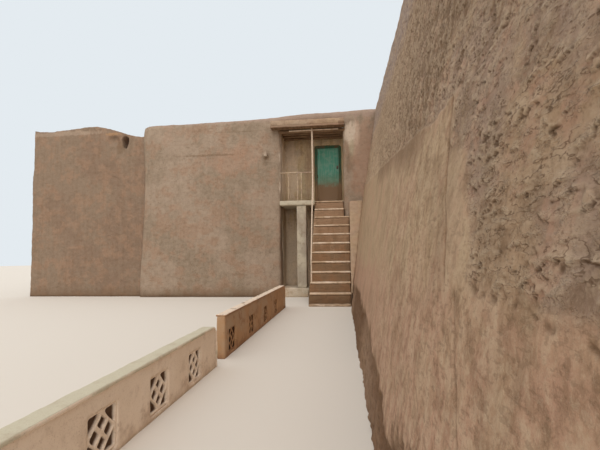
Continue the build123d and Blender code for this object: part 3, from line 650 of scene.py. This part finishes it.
def mud_mass(name, nodes, material, slot, grain, wave, lump, pock=0.0, relax=2):
    """Mud piece from CAD nodes, uneven over a metre, a hand's breadth and a finger's breadth."""
    wear = [texture for texture in ((1.35, 2, wave), (0.32, 3, lump), (0.11, 2, pock)) if texture[-1]]
    return worn(name, nodes, material, slot, grain, relax, *wear, ground=grain * 0.7)


# How far the facade's crest rises along its length, from the corner
CREST_SHIFT = (
    (-6.70, 0.075), (-6.45, 0.030), (-4.68, 0.006), (-2.71, -0.022), (-1.43, 0.034), (-0.03, 0.014), (0.80, 0.023),
)
FACADE_END_OUT = 0.11  # how far the upper left corner of the facade stands out


class ADOBE_OT_house_walls(bpy.types.Operator):
    """Outer walls of the house, in one uneven mass"""
    bl_idname = "adobe.house_walls"
    bl_label = "House walls"

    def execute(self, context):
        c, sizes = context.scene.adobe_colours, context.scene.adobe_sizes
        nodes = ("front_wall_left", "front_wall_right", "porch_parapet", "left_wall", "right_wall", "rear_wall")
        marks = (
            # Painted light on the left jamb of the porch, which lies in shade.
            ((-2.08, 0.36, 4.0), (0.05, 0.32, 1.7), c.plaster_pale, 0.65),
            ((-3.4, 0.0, 5.20), (0.90, 1.2, 0.030), c.facade_dark, 0.25),
            ((-5.2, 0.0, 4.85), (0.80, 1.2, 0.035), c.facade_dark, 0.22),
            ((-3.6, 0.0, 4.30), (0.90, 1.2, 0.50), c.coat_pink, 0.35),
            ((-5.6, 0.0, 5.10), (0.70, 1.2, 0.40), c.facade_pale, 0.35),
            ((0.16, 0.1, 4.96), (0.30, 1.2, 0.40), c.garden, 0.62),
            ((0.16, 0.1, 4.52), (0.10, 1.2, 0.40), c.washed, 0.55),
            # Painted shade on the facade right of the porch, beside the corner with the tall wall.
            ((0.10, 0.1, 4.08), (0.16, 1.2, 0.36), c.facade_dark, 0.40),
            ((0.55, 0.1, 4.20), (0.42, 1.2, 1.50), c.coat_pink, 0.50),
            ((-4.3, 0.0, 4.47), (1.10, 1.2, 0.045), c.facade_dark, 0.45),
            # Painted shadow of the broken stub.
            ((-2.51, 0.0, 4.33), (0.09, 1.2, 0.10), c.facade_dark, 0.60),
            ((-3.0, 0.0, 5.62), (6.0, 1.2, 0.16), c.flake_grey, 0.80),
        )
        clay = mud("facade_clay", c.facade, c.facade_pale, c.facade_red, c.facade_dark, marks=marks)
        grains = sizes.wall_grain, sizes.wave, sizes.lump
        piece = mud_mass("house_walls", nodes, clay, "facade_mud", *grains, pock=0.012)
        spots = points_of(piece)
        x, y, z = (spots - np.array(CORNER)).T
        spots[:, 2] += follow(CREST_SHIFT, x) * step(z, 4.9, 5.4) * step(y, 1.2, 0.7)
        spots[:, 0] -= FACADE_END_OUT * step(x, -6.0, -6.6) * step(spots[:, 2], 3.5, 5.2) * step(y, 1.4, 0.9)
        move_points(piece, spots)
        return {"FINISHED"}


class ADOBE_OT_roofs(bpy.types.Operator):
    """Flat mud roof, the porch roof and the upper floor"""
    bl_idname = "adobe.roofs"
    bl_label = "Roofs"

    def execute(self, context):
        c = context.scene.adobe_colours
        marks = (((-0.17, -0.25, 5.23), (0.13, 0.40, 0.075), c.timber, 0.60),)
        tones, dry = (c.facade_pale, c.facade_red, c.facade_dark), {"crack": 1.0, "streak": 0.0, "damp": 0.0}
        clay = mud("roof_clay", c.roof, *tones, **dry)
        eave = mud("eave_clay", c.flake, *tones, **dry, marks=marks)
        mud_mass("house_roof", ("roof",), clay, "roof_mud", grain=0.070, wave=0.030, lump=0.016)
        mud_mass("porch_roof_mud", ("porch_roof",), eave, "roof_mud", grain=0.030, wave=0.030, lump=0.020, pock=0.012)
        carry(clay, "upper_floor")
        return {"FINISHED"}


class ADOBE_OT_porch_walls(bpy.types.Operator):
    """Walls round the porch and the door, and the plinth below the landing"""
    bl_idname = "adobe.porch_walls"
    bl_label = "Porch walls"

    def execute(self, context):
        c = context.scene.adobe_colours
        marks = (
            ((-1.1, 0.6, 3.00), (9.0, 9.0, 0.35), c.porch_dark, 0.35),
            # Painted light on the left jamb and by the left back corner, which lie in shade.
            ((-2.08, 0.9, 4.0), (0.05, 0.45, 1.7), c.plaster_pale, 0.80),
            ((-1.86, 1.2, 4.1), (0.26, 0.5, 1.5), c.garden, 0.55),
            ((-1.25, 1.2, 4.30), (0.20, 1.2, 1.00), c.facade_red, 0.45),
            # Painted light low in the recess under the landing, which lies in shade.
            ((-1.0, 0.6, 1.20), (9.0, 9.0, 1.40), c.garden, 0.45),
        )
        # Painted light: pale porch mud in place of the light under the porch roof.
        clay = mud("porch_clay", c.porch, c.washed, c.facade_pale, c.porch_dark, streak=0.35, marks=marks)
        sides = ("porch_side_left", "porch_side_right", "door_wall_left", "door_wall_right",
                 "door_wall_over", "door_wall_under")
        mud_mass("porch_walls", sides, clay, "porch_mud", grain=0.044, wave=0.020, lump=0.014, pock=0.006)
        clay = mud("plinth_clay", c.concrete, c.garden, c.tread, c.porch_dark, damp=0.2)
        plinth = ("porch_plinth",)
        mud_mass("porch_plinth_mud", plinth, clay, "stair_mud", grain=0.026, wave=0.012, lump=0.012, pock=0.006)
        return {"FINISHED"}


# Arched hollow under the crest of the yard wall; its place is from the corner
NICHE_X, NICHE_TOP, NICHE_DEPTH = -7.70, 5.30, 0.085


class ADOBE_OT_yard_wall(bpy.types.Operator):
    """Broken yard wall on the left"""
    bl_idname = "adobe.yard_wall"
    bl_label = "Yard wall"

    def execute(self, context):
        c, sizes = context.scene.adobe_colours, context.scene.adobe_sizes
        marks = (
            ((-7.72, 0.2, 5.36), (0.30, 1.2, 0.06), c.garden_far, 0.60),
            # Painted shade: a dark patch for a breach beside the hollow.
            ((-7.45, 0.2, 4.90), (0.16, 1.2, 0.30), c.facade_dark, 0.50),
            ((-9.6, 0.2, 5.45), (1.50, 1.2, 0.09), c.facade_pale, 0.55),
        )
        clay = mud("yard_clay", c.yard, c.facade, c.facade_red, c.facade_dark, crack=0.25, streak=0.16, marks=marks)
        grains = sizes.yard_grain, sizes.wave, sizes.lump * 1.3
        piece = mud_mass("yard_wall", ("left_yard_wall",), clay, "yard_wall_mud", *grains, pock=0.016, relax=1)
        spots = points_of(piece)
        x, y, z = (spots - np.array(CORNER)).T
        arch = NICHE_TOP - 1.6 * (x - NICHE_X + 0.02) ** 2 + 0.03 * field(spots, 0.2, 3)
        hollow = step(arch - z, 0.0, 0.05) * step(z, 4.92, 5.12) * step(abs(x - NICHE_X), 0.24, 0.12)
        spots[:, 1] += NICHE_DEPTH * hollow * step(y, 0.55, 0.40)
        move_points(piece, spots)
        return {"FINISHED"}


# Tall wall, in two pieces that meet at its upper crack. Each line gives a height for places along it, from the corner

WALL_NEAR, WALL_FAR, PARTING = -13.28, 0.10, -11.10
TALL_PARTS = (("tall_wall_near", WALL_NEAR, PARTING), ("tall_wall_far", PARTING, WALL_FAR))
FOOT_SKEW = -0.183 / WALL_NEAR  # how far the foot swings right for each metre nearer
FACE_LEAN = 0.16
BACK_X, BACK_LEAN = 1.60, 0.04
CREST_FALL = 0.20  # height of the rounded crest above its shoulders
CREST_LINE = (
    (WALL_NEAR, 5.05), (-9.0, 5.105), (-7.6, 5.14), (-6.48, 5.205), (-5.4, 5.29), (-4.0, 5.40), (WALL_FAR, 5.755),
)
LEDGE_LINE = (
    (WALL_NEAR, 1.92), (-11.4, 1.93), (-10.6, 1.96), (-8.86, 2.22), (-5.8, 2.61), (-2.0, 3.05), (WALL_FAR, 3.35),
)
FOOT_LINE = (
    (WALL_NEAR, 0.48), (-10.75, 0.50), (-10.4, 0.34), (-9.9, 0.42), (-9.55, 0.50), (-8.65, 0.55), (-7.2, 0.62),
    (-6.4, 0.64), (-5.0, 0.68), (-4.0, 0.66), (-3.3, 0.60), (WALL_FAR, 0.42),
)
BROWN_LINE = (
    (WALL_NEAR, 1.65), (-11.9, 1.68), (-11.5, 1.85), (-11.1, 2.10), (-10.7, 2.20), (-10.3, 1.85), (-10.0, 1.72),
    (-8.7, 1.95), (-6.6, 2.20), (-5.0, 3.00), (WALL_FAR, 3.40),
)

# Cracks and the tail of a gouge, as (height, y) pairs
UPPER_CRACK = ((1.20, -11.15), (1.39, -11.09), (1.50, -11.005), (1.63, -10.955), (1.76, -10.915), (1.95, -10.90))
LOWER_CRACK = ((0.0, -11.80), (0.45, -11.65), (0.78, -11.494), (0.888, -11.435), (1.01, -11.368), (1.17, -11.29))
GOUGE_TAIL = ((1.21, -11.488), (1.30, -11.480))
GOUGE_Y, GOUGE_Z = -11.472, 1.197
HEM_HEIGHT = 1.19  # lower end of the flat plates
STAIN_Y = -11.03  # brown stain beside the upper crack
SMALL_FLAKE = 0.45  # size of the smaller flakes, as a part of the wider ones

FACE_ROWS, CREST_ROWS, BACK_ROWS, BASE_ROWS = 300, 20, 30, 6
FINE_STEP, STEP_GROWTH, STEP_POWER, PLAIN_STEP = 0.0022, 0.0062, 1.32, 0.040
SEEN_FROM = 0.42  # how far beyond the eye the wall begins to show
VIEW_HEIGHT, VIEW_RISE = 1.36, 0.069  # middle of the view at the eye, and how much it rises in a metre


def tall_stations(start, end):
    """Places along the tall wall, close together where it is seen from nearby."""
    places = [start]
    while places[-1] < end:
        ahead = places[-1] - EYE_Y
        stride = FINE_STEP + STEP_GROWTH * ahead ** STEP_POWER if ahead > SEEN_FROM else PLAIN_STEP
        places.append(places[-1] + stride)
    places[-1] = end
    return np.array(places)


def face_heights(ahead, top):
    """Row heights on the face, close together at the height that is seen from nearby."""
    z = np.linspace(0.0, top, 500)
    centre = VIEW_HEIGHT + VIEW_RISE * ahead
    reach = 0.30 + 0.55 * ahead
    weight = 1.0 + 13.0 * np.exp(-((z - centre) / reach) ** 4) / (1.0 + 0.16 * ahead ** 2)
    total = np.concatenate(([0.0], np.cumsum((weight[1:] + weight[:-1]) / 2)))
    return np.interp(np.linspace(0.0, total[-1], FACE_ROWS), total, z)


def tall_section(y):
    """Closed section across the tall wall: up the face, over the crest, down the back, along the base."""
    shoulder = follow(CREST_LINE, y) - CREST_FALL
    z = face_heights(max(y - EYE_Y, 0.3), shoulder)
    foot = -FOOT_SKEW * y
    face = np.column_stack((foot + FACE_LEAN * z, z))
    left, right = foot + FACE_LEAN * shoulder, BACK_X - BACK_LEAN * shoulder
    turn = np.linspace(math.pi, 0.0, CREST_ROWS + 2)[1:-1]
    middle, half = (left + right) / 2, (right - left) / 2
    over = np.column_stack((middle + half * np.cos(turn), shoulder + CREST_FALL * np.sin(turn) ** 0.75))
    z = np.linspace(shoulder, 0.0, BACK_ROWS)
    back = np.column_stack((BACK_X - BACK_LEAN * z, z))
    x = np.linspace(BACK_X, foot, BASE_ROWS + 2)[1:-1]
    base = np.column_stack((x, np.zeros(BASE_ROWS)))
    return np.vstack((face, over, back, base))


def tube(name, rings):
    """Tube of grid faces through rings of points, still open along one seam and at both ends."""
    deselect()
    bpy.ops.mesh.primitive_grid_add(x_subdivisions=rings.shape[1], y_subdivisions=rings.shape[0] - 1, size=2.0)
    piece = bpy.context.object
    piece.name = name
    move_points(piece, np.concatenate((rings, rings[:, :1]), axis=1).reshape(-1, 3))
    return piece


def sew(piece):
    """Closes the seam of a tube, caps its ends and turns its faces outward."""
    pick(piece)
    bpy.ops.object.mode_set(mode="EDIT")
    bpy.ops.mesh.select_mode(type="VERT")
    bpy.ops.mesh.select_all(action="SELECT")
    bpy.ops.mesh.remove_doubles(threshold=0.00001)
    bpy.ops.mesh.select_all(action="DESELECT")
    bpy.ops.mesh.select_non_manifold(
        use_wire=False, use_boundary=True, use_multi_face=False, use_non_contiguous=False, use_verts=False,
    )
    bpy.ops.mesh.fill_holes(sides=0)
    bpy.ops.mesh.select_all(action="SELECT")
    bpy.ops.mesh.normals_make_consistent(inside=False)
    bpy.ops.object.mode_set(mode="OBJECT")


def flakes(spots, wide, tall, salt):
    """Overlapping scales of mud: how far each stands out at its lower rim, and a line of painted shade under the rim.
    """
    spread = spots / np.array((wide, wide, tall)) + salt
    level = spots[:, 2] / tall + 1.5 * field(spread, 1.7, 4)
    saw = level % 1.0
    chosen = step(field(spread + 7.0, 0.95, 3), -0.08, 0.12)
    return chosen * (1.0 - saw) ** 2, chosen * step(saw, 0.87, 0.97)


def along_crack(y, z, line, width):
    """Closeness to a crack that follows a line of (height, y) pairs."""
    low, high = line[0][0], line[-1][0]
    ends = step(z, low - 0.03, low + 0.03) * step(z, high + 0.03, high - 0.03)
    return bell(y - follow(line, z), width) * ends


def tall_relief(spots, face, sizes):
    """How far each point stands out, and the colours of the zones and tones there, with the painted shade and
    highlights among them.
    """
    y, z = spots[:, 1], spots[:, 2]
    wobble = field(spots, 0.35, 4)
    fringe = field(spots + 2.0, 0.09, 3)
    lumps = field(spots + 1.0, 0.075, 3)
    crumbs = field(spots + 4.0, 0.022, 3)
    streaks = field(spots * np.array((1.0, 7.0, 0.8)), 0.16, 3)

    # Zones: rough above the ledge, flat plates right of the pale strip, smoother coat elsewhere
    ledge = follow(LEDGE_LINE, y) + 0.018 * wobble + 0.010 * fringe
    above = np.where(face, step(z, ledge - 0.012, ledge + 0.014), 0.4)
    before = follow(UPPER_CRACK, z) - y + 0.020 * fringe
    strip = step(before, 0.0, 0.02) * step(before, 0.30, 0.20) * step(z, 1.12, 1.30)
    strip *= 1.0 - 0.75 * step(z + 0.03 * fringe, 1.62, 1.74)
    hem = HEM_HEIGHT + 0.03 * wobble + 0.016 * fringe
    edge = 0.24 * step(z + 0.03 * fringe, 1.72, 1.62)
    plates = step(before, edge, edge + 0.08) * step(z, hem - 0.02, hem + 0.04) * (1.0 - above)
    flaky = np.clip(above + plates, 0.0, 1.0)

    # Scales that stand out at their lower rim, over a line of painted shade
    lift = sizes.flake_lift
    out, under = flakes(spots, sizes.flake_wide, sizes.flake_tall, 2.0)
    small_out, small_under_shade = flakes(spots, sizes.flake_wide * SMALL_FLAKE, sizes.flake_tall * SMALL_FLAKE, 5.0)
    pits = step(field(spots + 6.0, 0.045, 3), 0.34, 0.58) * above
    fine = flaky * (out - 0.4 * under) + (0.5 * above + 0.2 * plates) * (small_out - 0.4 * small_under_shade) - 0.3 * pits
    fine = fine * lift + streaks * 0.0005 * (1.0 - flaky)
    fine += lumps * (0.0010 + 0.0040 * above + 0.0016 * plates) + crumbs * (0.0006 + 0.0022 * above + 0.0008 * plates)
    fine *= 1.0 - 0.6 * (1.0 - flaky) * step(y, -11.2, -7.0)

    # Cracks and gouge
    line = along_crack(y + 0.010 * fringe, z, UPPER_CRACK, 0.009 + 0.006 * step(z, 1.66, 1.74))
    line += 0.8 * along_crack(y + 0.012 * fringe, z, LOWER_CRACK, 0.009)
    gouge = bell(y - GOUGE_Y, 0.022) * bell(z - GOUGE_Z - 0.4 * (y - GOUGE_Y), 0.016)
    gouge += 0.6 * along_crack(y, z, GOUGE_TAIL, 0.006)
    line = np.clip(line + 0.8 * gouge, 0.0, 1.0) * face

    # Frayed hem of the plates with painted shade under it, ridge of the ledge with painted highlight, and painted
    # shade above the ridge
    broken = step(field(spots + 8.0, 0.06, 2), -0.10, 0.15)
    sag = hem - 0.05 * step(-y, 11.6, 12.4)
    frayed_hem_shade = bell(z - sag, 0.008) * broken * step(-y, 11.47, 11.52)
    ridge = bell(z - ledge, 0.010) * step(-y, 11.9, 11.3) * step(z, 1.7, 1.8)
    shaded = bell(z - ledge - 0.026, 0.010) * broken * step(ridge, 0.0, 0.05)

    # Eroded foot, damp in places and darkest just below the coat as painted shade under its overhang, under a dashed
    # line of painted shadow
    foot_top = follow(FOOT_LINE, y) + 0.05 * wobble + 0.04 * fringe
    foot = step(z, foot_top + 0.03, foot_top - 0.08) * face
    damp = 0.50 + 0.40 * step(-y, 3.4, 4.2) * step(-y, 7.8, 6.9) + 0.18 * step(-y, 8.6, 9.6)
    damp = (damp + 0.20 * step(z, foot_top - 0.30, foot_top - 0.06)) * (1.0 - 0.40 * step(-y, 10.45, 10.75))
    shadow_dashes = step(streaks + 0.5 * fringe, 0.15, 0.5) * bell(z - foot_top, 0.09) * face
    flaky = np.clip(flaky + foot * 0.7, 0.0, 1.0)

    # How far each point stands out
    push = field(spots, 1.5, 2) * 0.014 + field(spots + 9.0, 0.42, 3) * 0.006 + fine
    push += (1.0 - above) * (1.0 - 0.35 * plates) * sizes.coat_lift + strip * 0.002 + ridge * 0.003
    push += plates * step(z, sag + 0.20, sag + 0.05) * 0.004
    push -= line * 0.012 + frayed_hem_shade * 0.006 + foot * (0.014 + 0.012 * fringe + 0.010 * lumps)

    # Painted shade in the gaps, painted light and shade by relief, browner mud, pinker coat and grey crest, for the
    # colours
    # Painted light and shade: how far the fine relief stands out, laid on later as paler and darker colour.
    relief = np.clip(0.5 + 0.5 * fine / (lift * 0.9), 0.0, 1.0)
    relief = np.where(face, relief, 0.5 + 0.3 * (relief - 0.5))
    gap_shade = under * flaky * 0.8 + small_under_shade * (0.6 * above + 0.35 * plates) + pits * 0.06 + line * 0.9
    gap_shade = np.clip(gap_shade + frayed_hem_shade * 0.75 + shaded * 0.4 + foot * step(lumps, 0.15, 0.4) * 0.35, 0.0, 1.0)
    gap_shade *= (1.0 - 0.45 * above * step(y, -9.0, -5.0)) * np.where(face, 1.0, 0.3)
    gap_shade = np.clip(gap_shade + shadow_dashes * 0.55 * step(-y, 9.9, 10.4), 0.0, 1.0)
    pink = 0.8 * step(z - 0.20 * wobble, 1.30, 0.95)
    brown = step(z - follow(BROWN_LINE, y) - 0.12 * wobble, 0.0, 0.30) * step(-y, 2.0, 5.0)
    brown += 0.50 * bell(y - STAIN_Y, 0.16) * step(z, 1.0, 1.3) * step(z, 2.0, 1.75)
    crest = step(z - follow(CREST_LINE, y) + 0.10 * wobble, -1.35, -0.85) * np.where(face, 0.9, 0.3)
    zones = np.column_stack((flaky, gap_shade, np.clip(foot * damp, 0.0, 1.0), relief))
    # Pale tone: the pale strip, with painted highlight along the ridge of the ledge.
    tones = np.column_stack((np.clip(strip + ridge * 0.7, 0.0, 1.0), pink, np.clip(brown, 0.0, 1.0) * face, crest))
    return push, zones, tones


class ADOBE_OT_tall_wall(bpy.types.Operator):
    """Tall leaning wall, flaking above a smoother lower coat, eroded at its foot"""
    bl_idname = "adobe.tall_wall"
    bl_label = "Tall wall"

    def execute(self, context):
        clay = tall_mud("tall_wall_clay", context.scene.adobe_colours)
        for name, start, end in TALL_PARTS:
            stations = tall_stations(start, end)
            rings = np.array([np.insert(tall_section(y), 1, y, axis=1) for y in stations])
            piece = tube(name, rings)
            spots = points_of(piece)
            row = np.tile(np.arange(rings.shape[1] + 1), len(stations))
            face = (row < FACE_ROWS) | (row == rings.shape[1])
            crest = (row >= FACE_ROWS) & (row < FACE_ROWS + CREST_ROWS)
            outward = np.where(face | (row < FACE_ROWS + CREST_ROWS // 2), -1.0, 1.0)
            push, zones, tones = tall_relief(spots, face, context.scene.adobe_sizes)
            lift = np.where(crest, field(spots + 3.0, 0.5, 3) * 0.045, 0.0)
            ground = spots[:, 2] <= 0.0
            spots[:, 0] += outward * push
            spots[:, 2] += lift
            spots[ground, 2] = 0.0
            move_points(piece, spots + np.array(CORNER))
            store(piece, mud_zones=zones, mud_tones=tones)
            sew(piece)
            smooth(piece, 60.0)
            dress(piece, clay, "tall_wall_mud", "tall_wall")
        return {"FINISHED"}


# Stair and landing

class ADOBE_OT_stair(bpy.types.Operator):
    """Mud stair, the fillet beside it and its pale treads"""
    bl_idname = "adobe.stair"
    bl_label = "Stair"

    def execute(self, context):
        c, sizes = context.scene.adobe_colours, context.scene.adobe_sizes
        marks = (((-0.9, -0.5, 3.30), (9.0, 9.0, 1.75), c.stair_high, 0.85),)
        clay = mud("stair_clay", c.stair, c.porch_dark, c.garden_stain, c.facade_dark, streak=0.15, marks=marks)
        mud_mass("stair_mud", ("stair_mass",), clay, "stair_mud", sizes.stair_grain, 0.012, 0.014, 0.006, relax=1)
        clay = tall_mud("cheek_clay", c)
        shape = {"grain": 0.030, "wave": 0.020, "lump": 0.020, "pock": 0.010, "relax": 12}
        cheek = mud_mass("stair_fillet", ("stair_cheek",), clay, "tall_wall_mud", **shape)
        points = len(cheek.data.vertices)
        store(cheek, mud_zones=np.tile((0.7, 0.0, 0.0, 0.5), points), mud_tones=np.tile((0.0, 0.2, 0.0, 0.0), points))
        cement = cast("tread_cement", c.tread, c.garden, c.stair, soil=0.45)
        worn("worn_treads", ("stair_treads",), cement, "pale_tread", sizes.tread_grain, 2, (0.16, 3, 0.016))
        return {"FINISHED"}


class ADOBE_OT_landing(bpy.types.Operator):
    """Landing slab, its pier and the stub in the facade"""
    bl_idname = "adobe.landing"
    bl_label = "Landing"

    def execute(self, context):
        c = context.scene.adobe_colours
        cement = cast("slab_cement", c.concrete, c.concrete, c.facade, soil=0.4)
        worn("landing_slab_worn", ("landing_slab",), cement, "pale_concrete", 0.020, 2, (0.2, 3, 0.014))
        plaster = cast("pier_plaster", c.plaster, c.concrete, c.facade, soil=0.6)
        worn("landing_pier_plaster", ("landing_pier",), plaster, "pale_plaster", 0.022, 2, (0.3, 3, 0.022))
        plaster = cast("stub_plaster", c.plaster, c.facade_pale, c.facade_dark, soil=0.5)
        worn("broken_stub", ("wall_peg",), plaster, "pale_plaster", 0.008, 1, (0.05, 2, 0.014))
        return {"FINISHED"}


GARDEN_FACE = -1.575  # walkway face of the garden walls, from the corner
COPING_BITE = 0.018  # how far a garden wall runs up into its coping


class ADOBE_OT_garden_walls(bpy.types.Operator):
    """Garden walls with their copings and pierced blocks"""
    bl_idname = "adobe.garden_walls"
    bl_label = "Garden walls"

    def execute(self, context):
        c = context.scene.adobe_colours
        plaster = cast("garden_plaster", c.garden, c.plaster_pale, c.garden_stain, soil=0.16)
        # The farther wall and its coping carry painted shade of the garden's plants.
        old_and_shaded = cast("garden_old_shaded_plaster", c.garden_far, c.flake, c.garden_stain, soil=0.9)
        cap = cast("coping_cement", c.plaster_pale, c.coping, c.garden_stain, soil=0.15, top=c.coping)
        worn_shaded_cap = cast("old_shaded_coping_cement", c.garden_far, c.garden_stain, c.facade_dark, soil=0.7, top=c.garden)
        fine = context.scene.adobe_sizes.block_grain
        for place, face, over, grain, shades, forward, deep in (
            ("near", plaster, cap, fine, (c.garden, c.plaster_pale, c.block_shade), 0.008, 0.024),
            # Painted shade on the far blocks: darker ribs, and openings dark just behind the face.
            ("far", old_and_shaded, worn_shaded_cap, fine * 1.4, (c.garden_stain, c.garden_far, c.block_deep), 0.0, 0.014),
        ):
            name = f"garden_wall_{place}"
            wall = worn(
                name + "_plaster", (name,), face, "garden_plaster", grain * 2.1, 1, (0.35, 3, 0.012), ground=0.010,
            )
            spots = points_of(wall)
            top = spots[:, 2].max()
            spots[:, 2] += COPING_BITE * step(spots[:, 2], top - 0.07, top - 0.03)
            move_points(wall, spots)
            name = f"garden_coping_{place}"
            mark_tops(worn(
                name + "_worn", (name,), over, "pale_concrete", grain * 1.5, 2, (0.14, 3, 0.010), ground=0.006,
            ))
            name, nodes = f"pierced_blocks_{place}", (f"garden_screens_{place}",)
            cement = pierced(f"block_cement_{place}", *shades, CORNER.x + GARDEN_FACE, deep)
            blocks = worn(name, nodes, cement, "block_concrete", grain, 2, (0.05, 2, 0.006))
            move_points(blocks, points_of(blocks) + np.array((forward, 0.0, 0.0)))
        return {"FINISHED"}


# Porch timber

LOG_END = -0.05  # where the lintel and poles stop, from the corner
ROD_BEND = ((-1.82, 0.012), (-1.50, -0.018), (-1.20, -0.050), (-0.80, -0.036), (-0.25, 0.016))


class ADOBE_OT_porch_timber(bpy.types.Operator):
    """Lintel, poles, ceiling and eave board of the porch, and the bent rod below them"""
    bl_idname = "adobe.porch_timber"
    bl_label = "Porch timber"

    def execute(self, context):
        c = context.scene.adobe_colours
        lengthwise = wood("pole_wood", c.timber, c.timber_pale, c.iron, "X")
        crosswise = wood("stick_wood", c.timber, c.timber_pale, c.iron, "Y")
        for node, name, cut in (("porch_lintel", "lintel_log", 0.012), ("porch_poles", "roof_poles", 0.010)):
            log = worn(name, (node,), lengthwise, "dark_timber", 0.018, 1, (0.5, 2, cut * 2), (0.07, 2, cut))
            spots = points_of(log)
            spots[:, 0] = np.minimum(spots[:, 0], CORNER.x + LOG_END)
            move_points(log, spots)
        marks = (
            # Painted shade along the underside of the eave board, in the timber colour.
            ((-1.2, -0.2, 5.13), (9.0, 9.0, 0.036), c.timber, 0.95),
            ((-0.17, -0.2, 5.20), (0.13, 0.40, 0.10), c.timber, 0.60),
        )
        clay = mud("board_clay", c.facade_red, c.facade, c.facade_red, c.facade_dark, damp=0.0, marks=marks)
        worn("eave_board", ("eave_plank",), clay, "dark_timber", 0.012, 1, (0.12, 3, 0.010))
        carry(crosswise, "porch_ceiling")
        rod = copy_of("bent_rod", "shade_rod")
        spots = points_of(rod)
        spots[:, 2] += follow(ROD_BEND, spots[:, 0] - CORNER.x)
        move_points(rod, spots)
        smooth(rod, 40.0)
        dress(rod, pipe_paint("rod_paint", c.garden, c.pipe, c.coat_pink), "cream_pipe", "shade_rod")
        return {"FINISHED"}


DOOR_SOIL = 3.62  # height below which the door is soiled


class ADOBE_OT_door(bpy.types.Operator):
    """Door frame, painted leaf, hinges and latch"""
    bl_idname = "adobe.door"
    bl_label = "Door"

    def execute(self, context):
        c = context.scene.adobe_colours
        soiled = {"low": DOOR_SOIL, "soil": c.porch_dark}
        frame_paint = painted("frame_paint", c.paint_dark, c.paint_dark, c.timber, c.timber, wear=0.9, **soiled)
        leaf_paint = painted("door_paint", c.paint, c.paint_pale, c.paint_pale, c.timber_pale, wear=0.3, **soiled)
        iron = painted("worn_iron", c.iron, c.pipe, c.iron, c.rust)
        for node, name, paint, bevel in (
            ("door_frame", "worn_frame", frame_paint, 0.006), ("door_leaf", "worn_leaf", leaf_paint, 0.004),
            ("door_hinges", "worn_hinges", iron, 0.0006), ("door_latch", "worn_latch", iron, 0.0006),
        ):
            piece = copy_of(name, node)
            apply(piece, "BEVEL", width=bevel, segments=2, limit_method="ANGLE", angle_limit=math.radians(40.0))
            smooth(piece, 40.0)
            dress(piece, paint, "dark_iron" if paint is iron else "green_paint", node)
        return {"FINISHED"}


POST_TOP = 4.9  # height above which the points of the post are moved
POST_SHIFT = (-0.085, 0.115)  # forward and up, past the front of the lintel


class ADOBE_OT_pipes(bpy.types.Operator):
    """Leaning post, landing railing and stair handrail"""
    bl_idname = "adobe.pipes"
    bl_label = "Pipes"

    def execute(self, context):
        c = context.scene.adobe_colours
        cream = pipe_paint("cream_pipe_paint", c.pipe, c.garden, c.rust)
        carry(cream, "stair_handrail")
        post = copy_of("leaning_post", "porch_post")
        spots = points_of(post)
        spots[spots[:, 2] > POST_TOP, 1:] += POST_SHIFT
        move_points(post, spots)
        smooth(post, 40.0)
        dress(post, cream, "cream_pipe", "porch_post")
        carry(pipe_paint("old_pipe_paint", c.pipe_old, c.facade_pale, c.rust), "landing_railing")
        return {"FINISHED"}


class ADOBE_PT_panel(bpy.types.Panel):
    """Colours, sizes and steps of the adobe house"""
    bl_label = "Adobe house"
    bl_idname = "ADOBE_PT_panel"
    bl_space_type = "VIEW_3D"
    bl_region_type = "UI"
    bl_category = "Adobe house"

    def draw(self, context):
        for operator in OPERATORS:
            self.layout.operator(operator.bl_idname)
        for group in (context.scene.adobe_sizes, context.scene.adobe_colours):
            for name in group.__annotations__:
                self.layout.prop(group, name)


OPERATORS = (
    ADOBE_OT_stage,
    ADOBE_OT_house_walls,
    ADOBE_OT_roofs,
    ADOBE_OT_porch_walls,
    ADOBE_OT_yard_wall,
    ADOBE_OT_tall_wall,
    ADOBE_OT_stair,
    ADOBE_OT_landing,
    ADOBE_OT_garden_walls,
    ADOBE_OT_porch_timber,
    ADOBE_OT_door,
    ADOBE_OT_pipes,
)
CLASSES = (HouseColours, HouseSizes) + OPERATORS + (ADOBE_PT_panel,)


def register():
    for kind in CLASSES:
        bpy.utils.register_class(kind)
    bpy.types.Scene.adobe_colours = bpy.props.PointerProperty(type=HouseColours)
    bpy.types.Scene.adobe_sizes = bpy.props.PointerProperty(type=HouseSizes)


def unregister():
    del bpy.types.Scene.adobe_sizes
    del bpy.types.Scene.adobe_colours
    for kind in reversed(CLASSES):
        bpy.utils.unregister_class(kind)


def main():
    register()
    for operator in OPERATORS:
        getattr(bpy.ops.adobe, operator.bl_idname.split(".")[1])()


if __name__ == "__main__":
    main()
